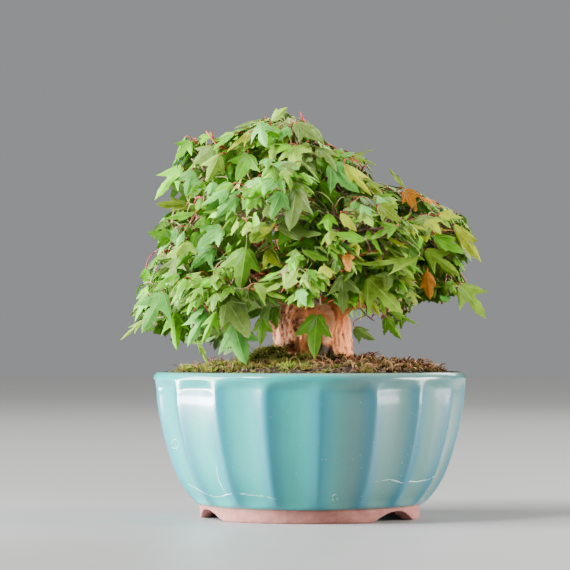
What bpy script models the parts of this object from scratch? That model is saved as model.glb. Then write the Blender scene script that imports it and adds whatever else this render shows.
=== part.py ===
"""A trident maple kept as a bonsai, in a round pot whose glazed wall is carved into eighteen flutes.

The plant stands on the pot's three feet. X runs to the right and Y away from the viewer, Z is up, and the
origin is under the middle of the whole plant, on the surface that the feet stand on. All sizes are in
metres.
"""

import math
import random

import bmesh
import bpy
from mathutils import Matrix, Quaternion, Vector
from mathutils.bvhtree import BVHTree

MM = 0.001
GAP = 0.3 * MM
UP = Vector((0, 0, 1))

# The pot's axis, seen from the middle of the whole plant
POT_AXIS = Vector((1.2 * MM, 0.0, 0.0))

# Pot
POT_RADIUS = 90.0 * MM
POT_HEIGHT = 84.2 * MM
POT_WALL = 6.5 * MM
POT_UNDER = 6.1 * MM
POT_FLOOR = 14.0 * MM
POT_FLOOR_RADIUS = 52.0 * MM
FOOT_RADIUS = 63.6 * MM
FOOT_WALL = 7.0 * MM
GLAZE_START = 7.8 * MM
DRAIN_RADIUS = 6.0 * MM
WALL_ROUNDING = (1.6, 0.6)
WALL_ROWS = (10.0, 15.0, 23.0, 35.0, 52.0, 68.0, 76.5)
INNER_ROWS = (74.0, 48.0, 24.0)
GLAZE_EDGE = (0.7 * MM, 0.3 * MM)
RIM_START = 0.4 * MM
LIP_ROUNDING = 3.2 * MM
LIP_CORNER = (2.2 * MM, 0.9 * MM)
MOUTH_DROP = 1.5 * MM
FLUTES = 18
FLUTE_STEPS = 3
FLUTE_DEPTH = 2.8 * MM
FLUTE_TOP = POT_HEIGHT - 4.0 * MM
FLUTE_TOP_FADE = 4.0 * MM
FIRST_RIDGE = math.radians(3.5)
CARVING_MARGIN = 0.5 * MM

# Feet: the foot ring between the three arches cut in it
FEET = 3
FIRST_ARCH = math.radians(51.0)
ARCH_HALF_ANGLE = math.radians(16.0)
FOOT_SLOPE_ANGLE = math.radians(4.5)
FOOT_TAPER = 0.6 * MM
FOOT_STEPS = 10

# Soil
SOIL_EDGE = 82.2 * MM
SOIL_TOP = 88.2 * MM
SOIL_PAD = 47.0 * MM
SOIL_CLEARANCE = 0.45 * MM
SOIL_FLOOR_INSET = 1.0 * MM
SOIL_ROWS = (76.0, 66.0, 56.0)
SOIL_STEPS = 27
GROUND = SOIL_TOP + GAP

# Cushions of moss at the trunk's foot: bearing in degrees, then distance, radius and height in millimetres
MOSS = ((-48, 29, 12, 10), (-100, 36, 9, 5), (-5, 33, 10, 4.5), (70, 33, 9, 4), (165, 33, 11, 5.5))
MOSS_SEGMENTS = (11, 6)
CUT_CLEARANCE = 0.45 * MM

# Trunk: height above the soil, X and Y from the pot's axis, and radius, in millimetres
TRUNK_LINE = (
    (0, 1.0, 0.0, 24.0),
    (7, 1.5, 0.0, 22.0),
    (15, 2.0, 0.0, 21.0),
    (25, 1.0, 0.0, 21.5),
    (34, -2.0, 1.0, 19.0),
    (45, -5.0, 2.0, 15.0),
    (58, -8.0, 2.0, 11.5),
    (72, -10.0, 1.0, 8.5),
    (86, -12.0, 0.0, 6.0),
    (98, -14.0, 0.0, 4.0),
)
TRUNK_SIDES = 24
FLARE_ROW = 3.5
# Ribs that run up the trunk: how many go round, how deep they are as a share of the radius, and their turn
TRUNK_RIBS = ((5, 0.035, 0.6), (8, 0.022, 2.1))
# Roots that show at the trunk's foot: bearing in degrees and spread in millimetres
ROOT_FLARES = ((-95, 6.0), (-48, 5.0), (25, 3.5), (88, 2.5), (150, 5.0), (205, 4.5))
ROOT_FLARE_HEIGHT = 7.1
ROOT_FLARE_WIDTH = 0.34

# Boughs
COLLAR_LENGTH = 4.0 * MM
COLLAR_SPREAD = 1.3
BOUGH_RISE = 0.45
BOUGH_BEND = 0.5
BOUGH_SIDES = 8
BOUGH_STEPS = 3
BOUGH_TIP_RADIUS = 2.0 * MM
BOUGH_ENTRY = 0.62

# Every mass of foliage: its middle from the pot's axis, its half sizes, the height above the soil at which
# its bough leaves the trunk with the bough's radius there, all in millimetres, and the seed that its twigs and
# leaves grow from. The apex grows from the trunk's tip.
MASSES = {
    "apex": ((-14, 0, 213), (28, 27, 22), None, 82),
    "left_shoulder": ((-53, -4, 196), (24, 27, 22), (60, 4.2), 83),
    "left": ((-70, 2, 160), (21, 27, 20), (43, 4.6), 602),
    "left_low": ((-74, -4, 123), (24, 28, 19), (27, 5.0), 1303),
    "right_shoulder": ((25, 0, 191), (25, 27, 21), (66, 4.0), 904),
    "right": ((68, 2, 165), (24, 28, 19), (46, 4.8), 87),
    "right_low": ((78, -4, 129), (20, 27, 16), (27, 5.0), 1806),
    "right_inner": ((44, -34, 126), (20, 20, 15), (22, 4.2), 89),
    "front_high": ((-22, -44, 177), (26, 24, 21), (54, 4.2), 108),
    "front_left": ((-47, -44, 122), (23, 22, 21), (36, 4.4), 609),
    "front_right": ((24, -48, 161), (26, 23, 20), (38, 4.4), 1410),
    "front_low": ((-2, -54, 135), (22, 19, 17), (30, 4.0), 211),
    "back_high": ((-8, 48, 180), (27, 23, 20), (58, 4.2), 1112),
    "back_left": ((-47, 50, 142), (24, 23, 20), (36, 4.4), 313),
    "back_right": ((42, 52, 146), (25, 23, 19), (44, 4.4), 914),
    "back_low": ((2, 60, 124), (21, 18, 16), (25, 4.2), 315),
}
SPACE_MARGIN = 0.25 * MM
LIMB_MARGIN = 0.6 * MM
LOWEST_LEAF = 90.0 * MM
LEAF_REACH = 1.55

# Stems and twigs
STEM_SIDES = 5
STEM_STEPS = 2
STEM_POINTS = 8
STEM_BEND = 0.4
STEM_OVERSHOOT = 0.15
STEM_TIP_RADIUS = 1.2 * MM
TWIGS = 8
TWIG_SIDES = 3
TWIG_STEPS = 1
TWIG_REACH = 0.72
TWIG_SHORTEST = 0.4
TWIG_SHRINK = 0.85
TWIG_FOLLOW = 0.6
TWIG_LIFT = 0.2
TWIG_BEND = 0.5
TWIG_SCATTER = 1.0
TWIG_BACKWARD = 0.45
TWIG_RADII = (1.5 * MM, 1.0 * MM)
FIRST_TWIG = 0.3
GOLDEN_ANGLE = math.pi * (3 - math.sqrt(5))

# Leaves
LEAF_PAIRS = (1.0, 0.8, 0.6, 0.4)
LEAVES_MOST = 20
LEAF_TRIES = 220
LEAF_LENGTH = (21.0, 28.0)
LEAF_STALK = (5.0, 13.0)
STALK_SPREAD = math.radians(58)
STALK_LIFT = 0.15
STALK_SCATTER = 0.35
STALK_RADIUS = 0.4 * MM
STALK_SUNK = 1.0 * MM
STALK_CORNERS = ((0.0, 1.0), (-0.9, -0.6), (0.9, -0.6))
PAIR_SCATTER = 0.3
SIDE_SCATTER = 0.4
# A leaf points out of its mass and out of the tree, falls, follows its stalk and strays, by these shares
LEAF_OUT, LEAF_OUTWARD, LEAF_FALL, LEAF_FOLLOW, LEAF_SCATTER = 0.8, 0.4, 0.7, 0.35, 0.45
# The top of a leaf faces out of its mass, sideways and up, and strays, by these shares
FACE_OUT, FACE_LEVEL, FACE_UP, FACE_SCATTER = 0.8, 0.3, 0.5, 0.3
LEAF_MIDDLE = 0.4
# Half a leaf's outline from its base round to its tip, as shares of its length: how far across, how far
# along, and how far it falls below the leaf's plane
LEAF_HALF = ((0.27, 0.09, 0.03), (0.50, 0.52, 0.12), (0.19, 0.50, 0.02))
LEAF_TIP = (0.0, 1.0, 0.16)

COLOURS = {
    "glaze": ((0.20, 0.52, 0.50, 1), 0.18),
    "clay": ((0.50, 0.36, 0.30, 1), 0.85),
    "earth": ((0.09, 0.07, 0.04, 1), 0.95),
    "moss": ((0.22, 0.24, 0.06, 1), 0.95),
    "bark": ((0.45, 0.30, 0.21, 1), 0.85),
    "leaf": ((0.16, 0.33, 0.08, 1), 0.55),
}


def bearing(angle):
    """The level direction at this angle, counted from the viewer's side round towards the right."""
    return Vector((math.sin(angle), -math.cos(angle), 0))


def material(name):
    found = bpy.data.materials.get(name)
    if found:
        return found
    made = bpy.data.materials.new(name)
    made.use_nodes = True
    colour, roughness = COLOURS[name]
    shader = made.node_tree.nodes["Principled BSDF"]
    shader.inputs["Base Color"].default_value = colour
    shader.inputs["Roughness"].default_value = roughness
    shader.inputs["Metallic"].default_value = 0.0
    return made


def object_from(bm, name, finish, collection=None):
    bmesh.ops.recalc_face_normals(bm, faces=bm.faces)
    mesh = bpy.data.meshes.new(name)
    bm.to_mesh(mesh)
    bm.free()
    mesh.materials.append(material(finish))
    obj = bpy.data.objects.new(name, mesh)
    (collection or bpy.context.scene.collection).objects.link(obj)
    return obj


def apply_modifiers(obj):
    graph = bpy.context.evaluated_depsgraph_get()
    mesh = bpy.data.meshes.new_from_object(obj.evaluated_get(graph))
    obj.modifiers.clear()
    obj.data = mesh


def keep_largest_piece(obj):
    """Drop loose scraps, and the walls of hollows that a union sealed."""
    bm = bmesh.new()
    bm.from_mesh(obj.data)
    left = set(bm.faces)
    pieces = []
    while left:
        front = [left.pop()]
        piece = []
        while front:
            face = front.pop()
            piece.append(face)
            near = {other for edge in face.edges for other in edge.link_faces} & left
            left -= near
            front += near
        pieces.append(piece)
    pieces.sort(key=len)
    scraps = [face for piece in pieces[:-1] for face in piece]
    bmesh.ops.delete(bm, geom=scraps, context="FACES")
    bm.to_mesh(obj.data)
    bm.free()


def cut(obj, cutter):
    modifier = obj.modifiers.new("Cut", "BOOLEAN")
    modifier.operation = "DIFFERENCE"
    modifier.object = cutter
    apply_modifiers(obj)


def fuse(obj, collection):
    """Join everything in the collection to the object, and remove the collection's own objects."""
    modifier = obj.modifiers.new("Fuse", "BOOLEAN")
    modifier.operation = "UNION"
    modifier.solver = "EXACT"
    modifier.operand_type = "COLLECTION"
    modifier.collection = collection
    apply_modifiers(obj)
    keep_largest_piece(obj)
    for other in list(collection.objects):
        bpy.data.objects.remove(other)
    bpy.data.collections.remove(collection)


def new_collection(name):
    collection = bpy.data.collections.new(name)
    bpy.context.scene.collection.children.link(collection)
    return collection


def spun(profile, steps, closed):
    """A body turned about the Z axis from points of radius and height."""
    bm = bmesh.new()
    out = bearing(FIRST_RIDGE)
    ring = [bm.verts.new(out * radius + UP * height) for radius, height in profile]
    edges = [bm.edges.new(pair) for pair in zip(ring, ring[1:])]
    if closed:
        edges.append(bm.edges.new((ring[-1], ring[0])))
    bmesh.ops.spin(
        bm,
        geom=ring + edges,
        cent=(0, 0, 0),
        axis=UP,
        dvec=(0, 0, 0),
        angle=2 * math.pi,
        steps=steps,
        use_merge=True,
        use_duplicate=False,
    )
    bmesh.ops.remove_doubles(bm, verts=bm.verts, dist=0.01 * MM)
    return bm


def extruded(rings):
    """A closed body: the first ring's face, extruded from ring to ring."""
    bm = bmesh.new()
    face = bm.faces.new([bm.verts.new(place) for place in rings[0]])
    inner = []
    for ring in rings[1:]:
        made = bmesh.ops.extrude_face_region(bm, geom=[face])["geom"]
        face = next(item for item in made if isinstance(item, bmesh.types.BMFace))
        inner.append(face)
        for vert, place in zip(face.verts, ring):
            vert.co = place
    bmesh.ops.delete(bm, geom=inner[:-1], context="FACES_ONLY")
    return bm


def wall_radius(height):
    """The bowl's outside radius over its ridges."""
    share = (height - GLAZE_START) / (POT_HEIGHT - GLAZE_START)
    first, second = WALL_ROUNDING
    swell = (1 - (1 - max(0.0, min(1.0, share))) ** first) ** second
    return FOOT_RADIUS + (POT_RADIUS - FOOT_RADIUS) * swell


def flute_depth(angle, height):
    """How far the wall is carved in at this angle: nothing on a ridge, most midway between two."""
    turn = (angle - FIRST_RIDGE) * FLUTES / (2 * math.pi)
    across = 2 * (turn - math.floor(turn)) - 1
    top = FLUTE_TOP - FLUTE_TOP_FADE * abs(across) ** 3
    fade = max(0.0, min(1.0, (top - height) / FLUTE_TOP_FADE))
    return FLUTE_DEPTH * (wall_radius(height) / POT_RADIUS) * (1 - across**2) * fade


def carve_flutes(bm):
    for vert in bm.verts:
        radius = math.hypot(vert.co.x, vert.co.y)
        outside = radius > wall_radius(vert.co.z) - CARVING_MARGIN
        if outside and vert.co.z > GLAZE_START + CARVING_MARGIN:
            angle = math.atan2(vert.co.x, -vert.co.y)
            share = 1 - flute_depth(angle, vert.co.z) / radius
            vert.co.x *= share
            vert.co.y *= share


def make_pot():
    lip = POT_RADIUS - LIP_ROUNDING
    mouth = POT_RADIUS - POT_WALL
    profile = [(DRAIN_RADIUS, POT_UNDER), (FOOT_RADIUS, POT_UNDER)]
    profile += [(FOOT_RADIUS, GLAZE_START)]
    profile += [(FOOT_RADIUS + GLAZE_EDGE[0], GLAZE_START + GLAZE_EDGE[1])]
    profile += [(wall_radius(z * MM), z * MM) for z in WALL_ROWS]
    profile += [(POT_RADIUS, FLUTE_TOP + RIM_START), (lip + LIP_CORNER[0], POT_HEIGHT - LIP_CORNER[1])]
    profile += [(lip, POT_HEIGHT), (mouth, POT_HEIGHT - MOUTH_DROP)]
    profile += [(wall_radius(z * MM) - POT_WALL, z * MM) for z in INNER_ROWS]
    profile += [(POT_FLOOR_RADIUS, POT_FLOOR), (DRAIN_RADIUS, POT_FLOOR)]
    bm = spun(profile, FLUTES * FLUTE_STEPS, True)
    carve_flutes(bm)
    return object_from(bm, "pot", "glaze")


def make_foot(number):
    """One foot of unglazed clay: the foot ring's stretch between two arches, with sloping ends."""
    start = FIRST_ARCH + ARCH_HALF_ANGLE + number * 2 * math.pi / FEET
    sweep = 2 * math.pi / FEET - 2 * ARCH_HALF_ANGLE
    inner, outer = FOOT_RADIUS - FOOT_WALL, FOOT_RADIUS
    top = POT_UNDER - GAP
    rings = []
    for k in range(FOOT_STEPS + 1):
        share = k / FOOT_STEPS
        low = bearing(start + sweep * share)
        high = bearing(start - FOOT_SLOPE_ANGLE + (sweep + 2 * FOOT_SLOPE_ANGLE) * share)
        below = (low * inner, low * (outer - FOOT_TAPER))
        rings.append(below + (high * outer + UP * top, high * inner + UP * top))
    return object_from(extruded(rings), f"foot_{number + 1}", "clay")


def soil_height(radius):
    """The height of the soil this far from the pot's axis, flat round the trunk and falling to the wall."""
    share = max(0.0, (radius - SOIL_PAD) / (POT_RADIUS - POT_WALL - SOIL_PAD))
    return SOIL_TOP - (SOIL_TOP - SOIL_EDGE) * share**2


def make_soil():
    inner = [(wall_radius(z * MM) - POT_WALL - SOIL_CLEARANCE, z * MM) for z in INNER_ROWS[::-1]]
    edge = POT_RADIUS - POT_WALL - 2 * SOIL_CLEARANCE
    profile = [(0, POT_FLOOR + GAP), (POT_FLOOR_RADIUS - SOIL_FLOOR_INSET, POT_FLOOR + GAP)]
    profile += inner + [(edge, soil_height(edge))]
    profile += [(r * MM, soil_height(r * MM)) for r in SOIL_ROWS]
    profile += [(SOIL_PAD, SOIL_TOP)]
    profile += [(0, SOIL_TOP)]
    return object_from(spun(profile, SOIL_STEPS, False), "soil", "earth")


def between(rows, height):
    """The row of numbers at this height, on a smooth curve through the rows."""
    last = len(rows) - 1
    k = next((i for i in range(last) if height <= rows[i + 1][0]), last - 1)
    a, b = rows[k], rows[k + 1]
    before, after = rows[max(k - 1, 0)], rows[min(k + 2, last)]
    t = (height - a[0]) / (b[0] - a[0])
    curve = []
    for p, q, r, s in zip(before, a, b, after):
        bend = (2 * p - 5 * q + 4 * r - s) * t**2 + (3 * q - p - 3 * r + s) * t**3
        curve.append(0.5 * (2 * q + (r - p) * t + bend))
    return curve


def trunk_point(height):
    """The trunk's middle and its radius at this many millimetres above the soil."""
    _, x, y, radius = between(TRUNK_LINE, height)
    return Vector((x * MM, y * MM, GROUND + height * MM)), radius * MM


def root_flare(angle, height):
    """How far the roots push the trunk's foot out at this angle."""
    fade = math.exp(-((height / ROOT_FLARE_HEIGHT) ** 2))
    out = 0.0
    for degrees, spread in ROOT_FLARES:
        off = math.remainder(angle - math.radians(degrees), 2 * math.pi)
        out += spread * math.exp(-((off / ROOT_FLARE_WIDTH) ** 2))
    return out * fade * MM


def trunk_ring(height, margin):
    middle, radius = trunk_point(height)
    ring = []
    for k in range(TRUNK_SIDES):
        angle = 2 * math.pi * k / TRUNK_SIDES
        ribs = sum(depth * math.cos(n * angle + turn) for n, depth, turn in TRUNK_RIBS)
        reach = radius * (1 + ribs) + root_flare(angle, height) + margin
        ring.append(middle + bearing(angle) * reach)
    return ring


def trunk_body(margin=0.0):
    """The trunk without its collars, made fatter all round by a margin."""
    heights = [0, FLARE_ROW] + [row[0] for row in TRUNK_LINE[1:]]
    return extruded([trunk_ring(height, margin) for height in heights])


def bezier(start, middle, end, steps):
    """Points and directions along a curve that leaves start towards middle and comes to end from it."""
    points, ways = [], []
    for k in range(steps + 1):
        t = k / steps
        points.append(start * (1 - t) ** 2 + middle * (2 * t * (1 - t)) + end * t**2)
        ways.append(((middle - start) * (1 - t) + (end - middle) * t).normalized())
    return points, ways


def limb_body(points, ways, radii, sides):
    """A tapering limb: rings square to its way, turned as little as can be from one to the next."""
    side = ways[0].orthogonal().normalized()
    rings = []
    for k, (point, way) in enumerate(zip(points, ways)):
        side = ways[max(k - 1, 0)].rotation_difference(way) @ side
        turns = [Quaternion(way, 2 * math.pi * n / sides) for n in range(sides)]
        rings.append([point + turn @ side * radii[k] for turn in turns])
    return extruded(rings)


def tapered(first, last, steps):
    return [first + (last - first) * k / steps for k in range(steps + 1)]


class Bough:
    """A bough's line, from the flat face of its collar on the trunk to its tip in a mass of foliage."""

    def __init__(self, name):
        heart, size, (height, radius), _ = MASSES[name]
        self.name = name
        self.root, trunk_reach = trunk_point(height)
        self.radius = radius * MM
        towards = Vector(heart) * MM - self.root
        level = Vector((towards.x, towards.y, 0)).normalized()
        self.out = (level + UP * BOUGH_RISE).normalized()
        self.collar_end = self.root + self.out * (trunk_reach + COLLAR_LENGTH)
        start = self.collar_end + self.out * GAP
        tip = Vector(heart) * MM - towards.normalized() * reach_along(size, towards) * BOUGH_ENTRY
        middle = start + self.out * (tip - start).length * BOUGH_BEND
        self.points, self.ways = bezier(start, middle, tip, BOUGH_STEPS)

    def collar(self, margin=0.0):
        wide = self.radius * COLLAR_SPREAD + margin
        points = [self.root, self.collar_end + self.out * margin]
        return limb_body(points, [self.out] * 2, [wide, self.radius + margin], BOUGH_SIDES)

    def body(self, margin=0.0):
        radii = tapered(self.radius + margin, BOUGH_TIP_RADIUS + margin, BOUGH_STEPS)
        return limb_body(self.points, self.ways, radii, BOUGH_SIDES)


def make_trunk(boughs):
    trunk = object_from(trunk_body(), "trunk", "bark")
    collars = new_collection("collars")
    for bough in boughs:
        object_from(bough.collar(), f"collar_{bough.name}", "bark", collars)
    fuse(trunk, collars)
    return trunk


def make_moss(number, fat_trunk):
    degrees, distance, radius, height = MOSS[number]
    bm = bmesh.new()
    around, up = MOSS_SEGMENTS
    bmesh.ops.create_uvsphere(bm, u_segments=around, v_segments=up, radius=1)
    whole = bm.verts[:] + bm.edges[:] + bm.faces[:]
    bmesh.ops.bisect_plane(bm, geom=whole, plane_co=(0, 0, 0), plane_no=-UP, clear_outer=True, dist=MM)
    bmesh.ops.holes_fill(bm, edges=[edge for edge in bm.edges if edge.is_boundary])
    bmesh.ops.scale(bm, verts=bm.verts, vec=Vector((radius, radius, height)) * MM)
    place = bearing(math.radians(degrees)) * distance * MM + UP * GROUND
    bmesh.ops.translate(bm, verts=bm.verts, vec=place)
    cushion = object_from(bm, f"moss_cushion_{number + 1}", "moss")
    cut(cushion, fat_trunk)
    keep_largest_piece(cushion)
    return cushion


def reach_along(size, way):
    """How far a mass of these half sizes, in millimetres, reaches along a direction."""
    unit = way.normalized()
    return MM / math.sqrt(sum((a / b) ** 2 for a, b in zip(unit, size)))


def borders(name):
    """The planes between a mass's space and its neighbours', as a direction and how far to go along it."""
    heart, size = MASSES[name][:2]
    planes = []
    for other, (other_heart, other_size, _, _) in MASSES.items():
        if other != name:
            way = (Vector(other_heart) - Vector(heart)) * MM
            mine, theirs = reach_along(size, way), reach_along(other_size, way)
            share = (way.length**2 + mine**2 - theirs**2) / (2 * way.length)
            unit = way.normalized()
            planes.append((unit, Vector(heart).dot(unit) * MM + share - SPACE_MARGIN))
    return planes


class Leaf:
    """A three-lobed leaf with its stalk, as one closed body of thin faces that fold at its veins."""

    def __init__(self, root, base, along, facing, length):
        across = along.cross(facing).normalized()
        up = across.cross(along)
        bend = along.rotation_difference(base - root)
        corners = [across * x + up * y for x, y in STALK_CORNERS]
        self.points = [root + bend @ corner * STALK_RADIUS for corner in corners]
        self.points += [base + corner * STALK_RADIUS for corner in corners]
        half = [Vector(corner) for corner in LEAF_HALF]
        rim = [Vector((-c.x, c.y, c.z)) for c in half] + [Vector(LEAF_TIP)] + half[::-1]
        self.points += [base + (across * c.x + along * c.y - up * c.z) * length for c in rim]
        root_top, root_left, root_right, top, left, right = range(6)
        outline = list(range(6, 6 + len(rim)))
        tip = outline[len(half)]
        self.stalk = [(root_top, root_left, root_right), (root_top, root_left, left, top)]
        self.stalk += [(root_left, root_right, right, left), (root_right, root_top, top, right)]
        rounds = [left] + outline + [right]
        self.blade = [(top, a, b) for a, b in zip(rounds, rounds[1:])]
        self.blade += [(left, b, a) for a, b in zip(outline[: len(half)], outline[1 : len(half) + 1])]
        self.blade += [(right, b, a) for a, b in zip(outline[len(half) :], outline[len(half) + 1 :])]
        self.blade += [(left, right, tip)]
        self.middle = base + along * length * LEAF_MIDDLE
        self.reach = max((point - self.middle).length for point in self.points)
        self.folded_back = along.dot(base - root) < 0

    def tree(self):
        return BVHTree.FromPolygons(self.points, self.blade + self.stalk)

    def blade_tree(self):
        return BVHTree.FromPolygons(self.points, self.blade)

    def add_object(self, name, collection):
        bm = bmesh.new()
        verts = [bm.verts.new(point) for point in self.points]
        for face in self.blade + self.stalk:
            bm.faces.new([verts[k] for k in face])
        return object_from(bm, name, "leaf", collection)


class Mass:
    """A mass of foliage: one stem, the twigs that branch from it and their leaves, inside its own space."""

    def __init__(self, name, start, way, guards):
        heart, size, _, seed = MASSES[name]
        self.name = name
        self.heart = Vector(heart) * MM
        self.size = Vector(size) * MM
        self.chance = random.Random(seed)
        self.planes = borders(name)
        self.guards = guards
        self.bodies = []
        self.twig_trees = []
        self.twigs = []
        self.leaves = []
        self.grow_stem(start, way)
        self.grow_twigs()
        self.grow_leaves()

    def holds(self, points, reach):
        """Whether all these points are in the mass's space and within its reach."""
        for point in points:
            off = point - self.heart
            scaled = Vector((off.x / self.size.x, off.y / self.size.y, off.z / self.size.z))
            if scaled.length > reach or point.z < LOWEST_LEAF:
                return False
            if any(point.dot(unit) > limit for unit, limit in self.planes):
                return False
        return True

    def grow_stem(self, start, way):
        first = start + way * GAP
        inward = (self.heart - first).normalized()
        end = self.heart + inward * reach_along(self.size / MM, inward) * STEM_OVERSHOOT
        middle = first + way * (end - first).length * STEM_BEND
        self.stem = bezier(first, middle, end, STEM_POINTS)
        self.inward = inward
        points, ways = bezier(first, middle, end, STEM_STEPS)
        radii = tapered(BOUGH_TIP_RADIUS, STEM_TIP_RADIUS, STEM_STEPS)
        self.bodies.append(limb_body(points, ways, radii, STEM_SIDES))

    def grow_twigs(self):
        for k in range(TWIGS):
            height = 1 - 2 * (k + 0.5) / TWIGS
            angle = k * GOLDEN_ANGLE + self.chance.uniform(0, TWIG_SCATTER)
            flat = math.sqrt(1 - height**2)
            way = Vector((flat * math.cos(angle), flat * math.sin(angle), height))
            if way.dot(self.inward) > -TWIG_BACKWARD:
                self.grow_twig(way)

    def grow_twig(self, way):
        stem_points, stem_ways = self.stem
        forward = 0.5 + 0.5 * way.dot(self.inward)
        place = round((FIRST_TWIG + (1 - FIRST_TWIG) * forward) * (len(stem_points) - 1))
        start = stem_points[place]
        reach = TWIG_REACH
        while reach > TWIG_SHORTEST:
            end = self.heart + Vector(a * b for a, b in zip(way, self.size)) * reach
            bend = (way + stem_ways[place] * TWIG_FOLLOW + UP * TWIG_LIFT).normalized()
            middle = start + bend * (end - start).length * TWIG_BEND
            points, ways = bezier(start, middle, end, TWIG_STEPS)
            body = limb_body(points, ways, tapered(*TWIG_RADII, TWIG_STEPS), TWIG_SIDES)
            tree = BVHTree.FromBMesh(body)
            free = not any(tree.overlap(guard) for guard in self.guards)
            if free and self.holds([vert.co for vert in body.verts], 1.0):
                self.bodies.append(body)
                self.twig_trees.append(tree)
                self.twigs.append(points)
                return
            body.free()
            reach *= TWIG_SHRINK

    def grow_leaves(self):
        for k in range(len(self.twigs)):
            self.grow_leaf(k, 1.0, None)
        for pair, share in enumerate(LEAF_PAIRS):
            for k in range(len(self.twigs)):
                turn = self.chance.uniform(-PAIR_SCATTER, PAIR_SCATTER) + pair * math.pi / 2
                self.grow_leaf(k, share, turn)
                self.grow_leaf(k, share, turn + math.pi)

    def grow_leaf(self, twig, share, turn):
        node, way = self.twig_point(twig, share)
        for _ in range(LEAF_TRIES if len(self.leaves) < LEAVES_MOST else 0):
            leaf = self.try_leaf(node, way, turn)
            if self.fits(leaf, twig):
                self.leaves.append((leaf, leaf.tree()))
                return

    def twig_point(self, twig, share):
        """A point on a twig's middle line, a little short of this share of its length, and its way there."""
        points = self.twigs[twig]
        along = share * TWIG_STEPS
        k = min(int(along), TWIG_STEPS - 1)
        way = (points[k + 1] - points[k]).normalized()
        return points[k].lerp(points[k + 1], along - k) - way * STALK_SUNK, way

    def try_leaf(self, node, way, turn):
        chance = self.chance
        if turn is None:
            stalk_way = way + scatter(chance, STALK_SCATTER)
        else:
            side = Quaternion(way, turn + chance.uniform(-SIDE_SCATTER, SIDE_SCATTER)) @ level_side(way)
            stalk_way = way * math.cos(STALK_SPREAD) + side * math.sin(STALK_SPREAD) + UP * STALK_LIFT
        stalk_way.normalize()
        base = node + stalk_way * chance.uniform(*LEAF_STALK) * MM
        out = Vector(a / b for a, b in zip(base - self.heart, self.size)).normalized()
        outward = Vector((base.x, base.y, 0)).normalized()
        level = Vector((out.x, out.y, 0)) * LEAF_OUT + outward * LEAF_OUTWARD
        along = level - UP * LEAF_FALL + stalk_way * LEAF_FOLLOW + scatter(chance, LEAF_SCATTER)
        along.normalize()
        facing = out * FACE_OUT + level * FACE_LEVEL + UP * FACE_UP + scatter(chance, FACE_SCATTER)
        length = chance.uniform(*LEAF_LENGTH) * MM
        return Leaf(node, base, along, facing, length)

    def fits(self, leaf, twig):
        if leaf.folded_back or not self.holds(leaf.points, LEAF_REACH):
            return False
        tree = leaf.tree()
        if any(tree.overlap(guard) for guard in self.guards):
            return False
        if any(tree.overlap(other) for k, other in enumerate(self.twig_trees) if k != twig):
            return False
        if leaf.blade_tree().overlap(self.twig_trees[twig]):
            return False
        for other, other_tree in self.leaves:
            near = (leaf.middle - other.middle).length < leaf.reach + other.reach
            if near and tree.overlap(other_tree):
                return False
        return True

    def make(self):
        stem = object_from(self.bodies[0], f"foliage_{self.name}", "leaf")
        sprays = new_collection(f"sprays_{self.name}")
        for k, body in enumerate(self.bodies[1:]):
            object_from(body, f"twig_{self.name}_{k}", "leaf", sprays)
        for k, (leaf, _) in enumerate(self.leaves):
            leaf.add_object(f"leaf_{self.name}_{k}", sprays)
        fuse(stem, sprays)
        return stem


def level_side(way):
    """The level direction square to a twig, or any square one where the twig stands upright."""
    side = way.cross(UP)
    return side.normalized() if side.length > 0.1 else way.orthogonal().normalized()


def scatter(chance, spread):
    return Vector(chance.uniform(-spread, spread) for _ in range(3))


def guard_tree(bm):
    tree = BVHTree.FromBMesh(bm)
    bm.free()
    return tree


def main():
    for obj in list(bpy.data.objects):
        bpy.data.objects.remove(obj)
    boughs = [Bough(name) for name, mass in MASSES.items() if mass[2]]
    parts = [make_pot(), make_soil()]
    parts += [make_foot(number) for number in range(FEET)]
    parts.append(make_trunk(boughs))
    parts += [object_from(bough.body(), f"bough_{bough.name}", "bark") for bough in boughs]

    fat_trunk = object_from(trunk_body(CUT_CLEARANCE), "fat_trunk", "bark")
    parts += [make_moss(number, fat_trunk) for number in range(len(MOSS))]
    bpy.data.objects.remove(fat_trunk)

    guards = [guard_tree(trunk_body(LIMB_MARGIN))]
    guards += [guard_tree(bough.collar(LIMB_MARGIN)) for bough in boughs]
    guards += [guard_tree(bough.body(LIMB_MARGIN)) for bough in boughs]
    trunk_tip, _ = trunk_point(TRUNK_LINE[-1][0])
    tips = {bough.name: (bough.points[-1], bough.ways[-1]) for bough in boughs}
    for name in MASSES:
        start, way = tips.get(name, (trunk_tip, UP))
        parts.append(Mass(name, start, way, guards).make())

    plant = bpy.data.objects.new("bonsai", None)
    plant.matrix_world = Matrix.Translation(POT_AXIS)
    bpy.context.scene.collection.objects.link(plant)
    for part in parts:
        part.parent = plant


main()
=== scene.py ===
"""A trident maple bonsai in a round fluted pot: its glaze, clay, soil, moss, bark, twigs and leaves.

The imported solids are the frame. Shapes are worked out from the pot's axis, in metres, with X to the right,
Y away from the viewer and Z up, and each finished mesh is then moved to the pot's place in the frame.
"""

import math
import random
from typing import NamedTuple

import bmesh
import bpy
import numpy as np
from bpy.props import FloatProperty, FloatVectorProperty, IntProperty, PointerProperty
from mathutils import Matrix, Quaternion, Vector, noise
from mathutils.bvhtree import BVHTree


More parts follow.
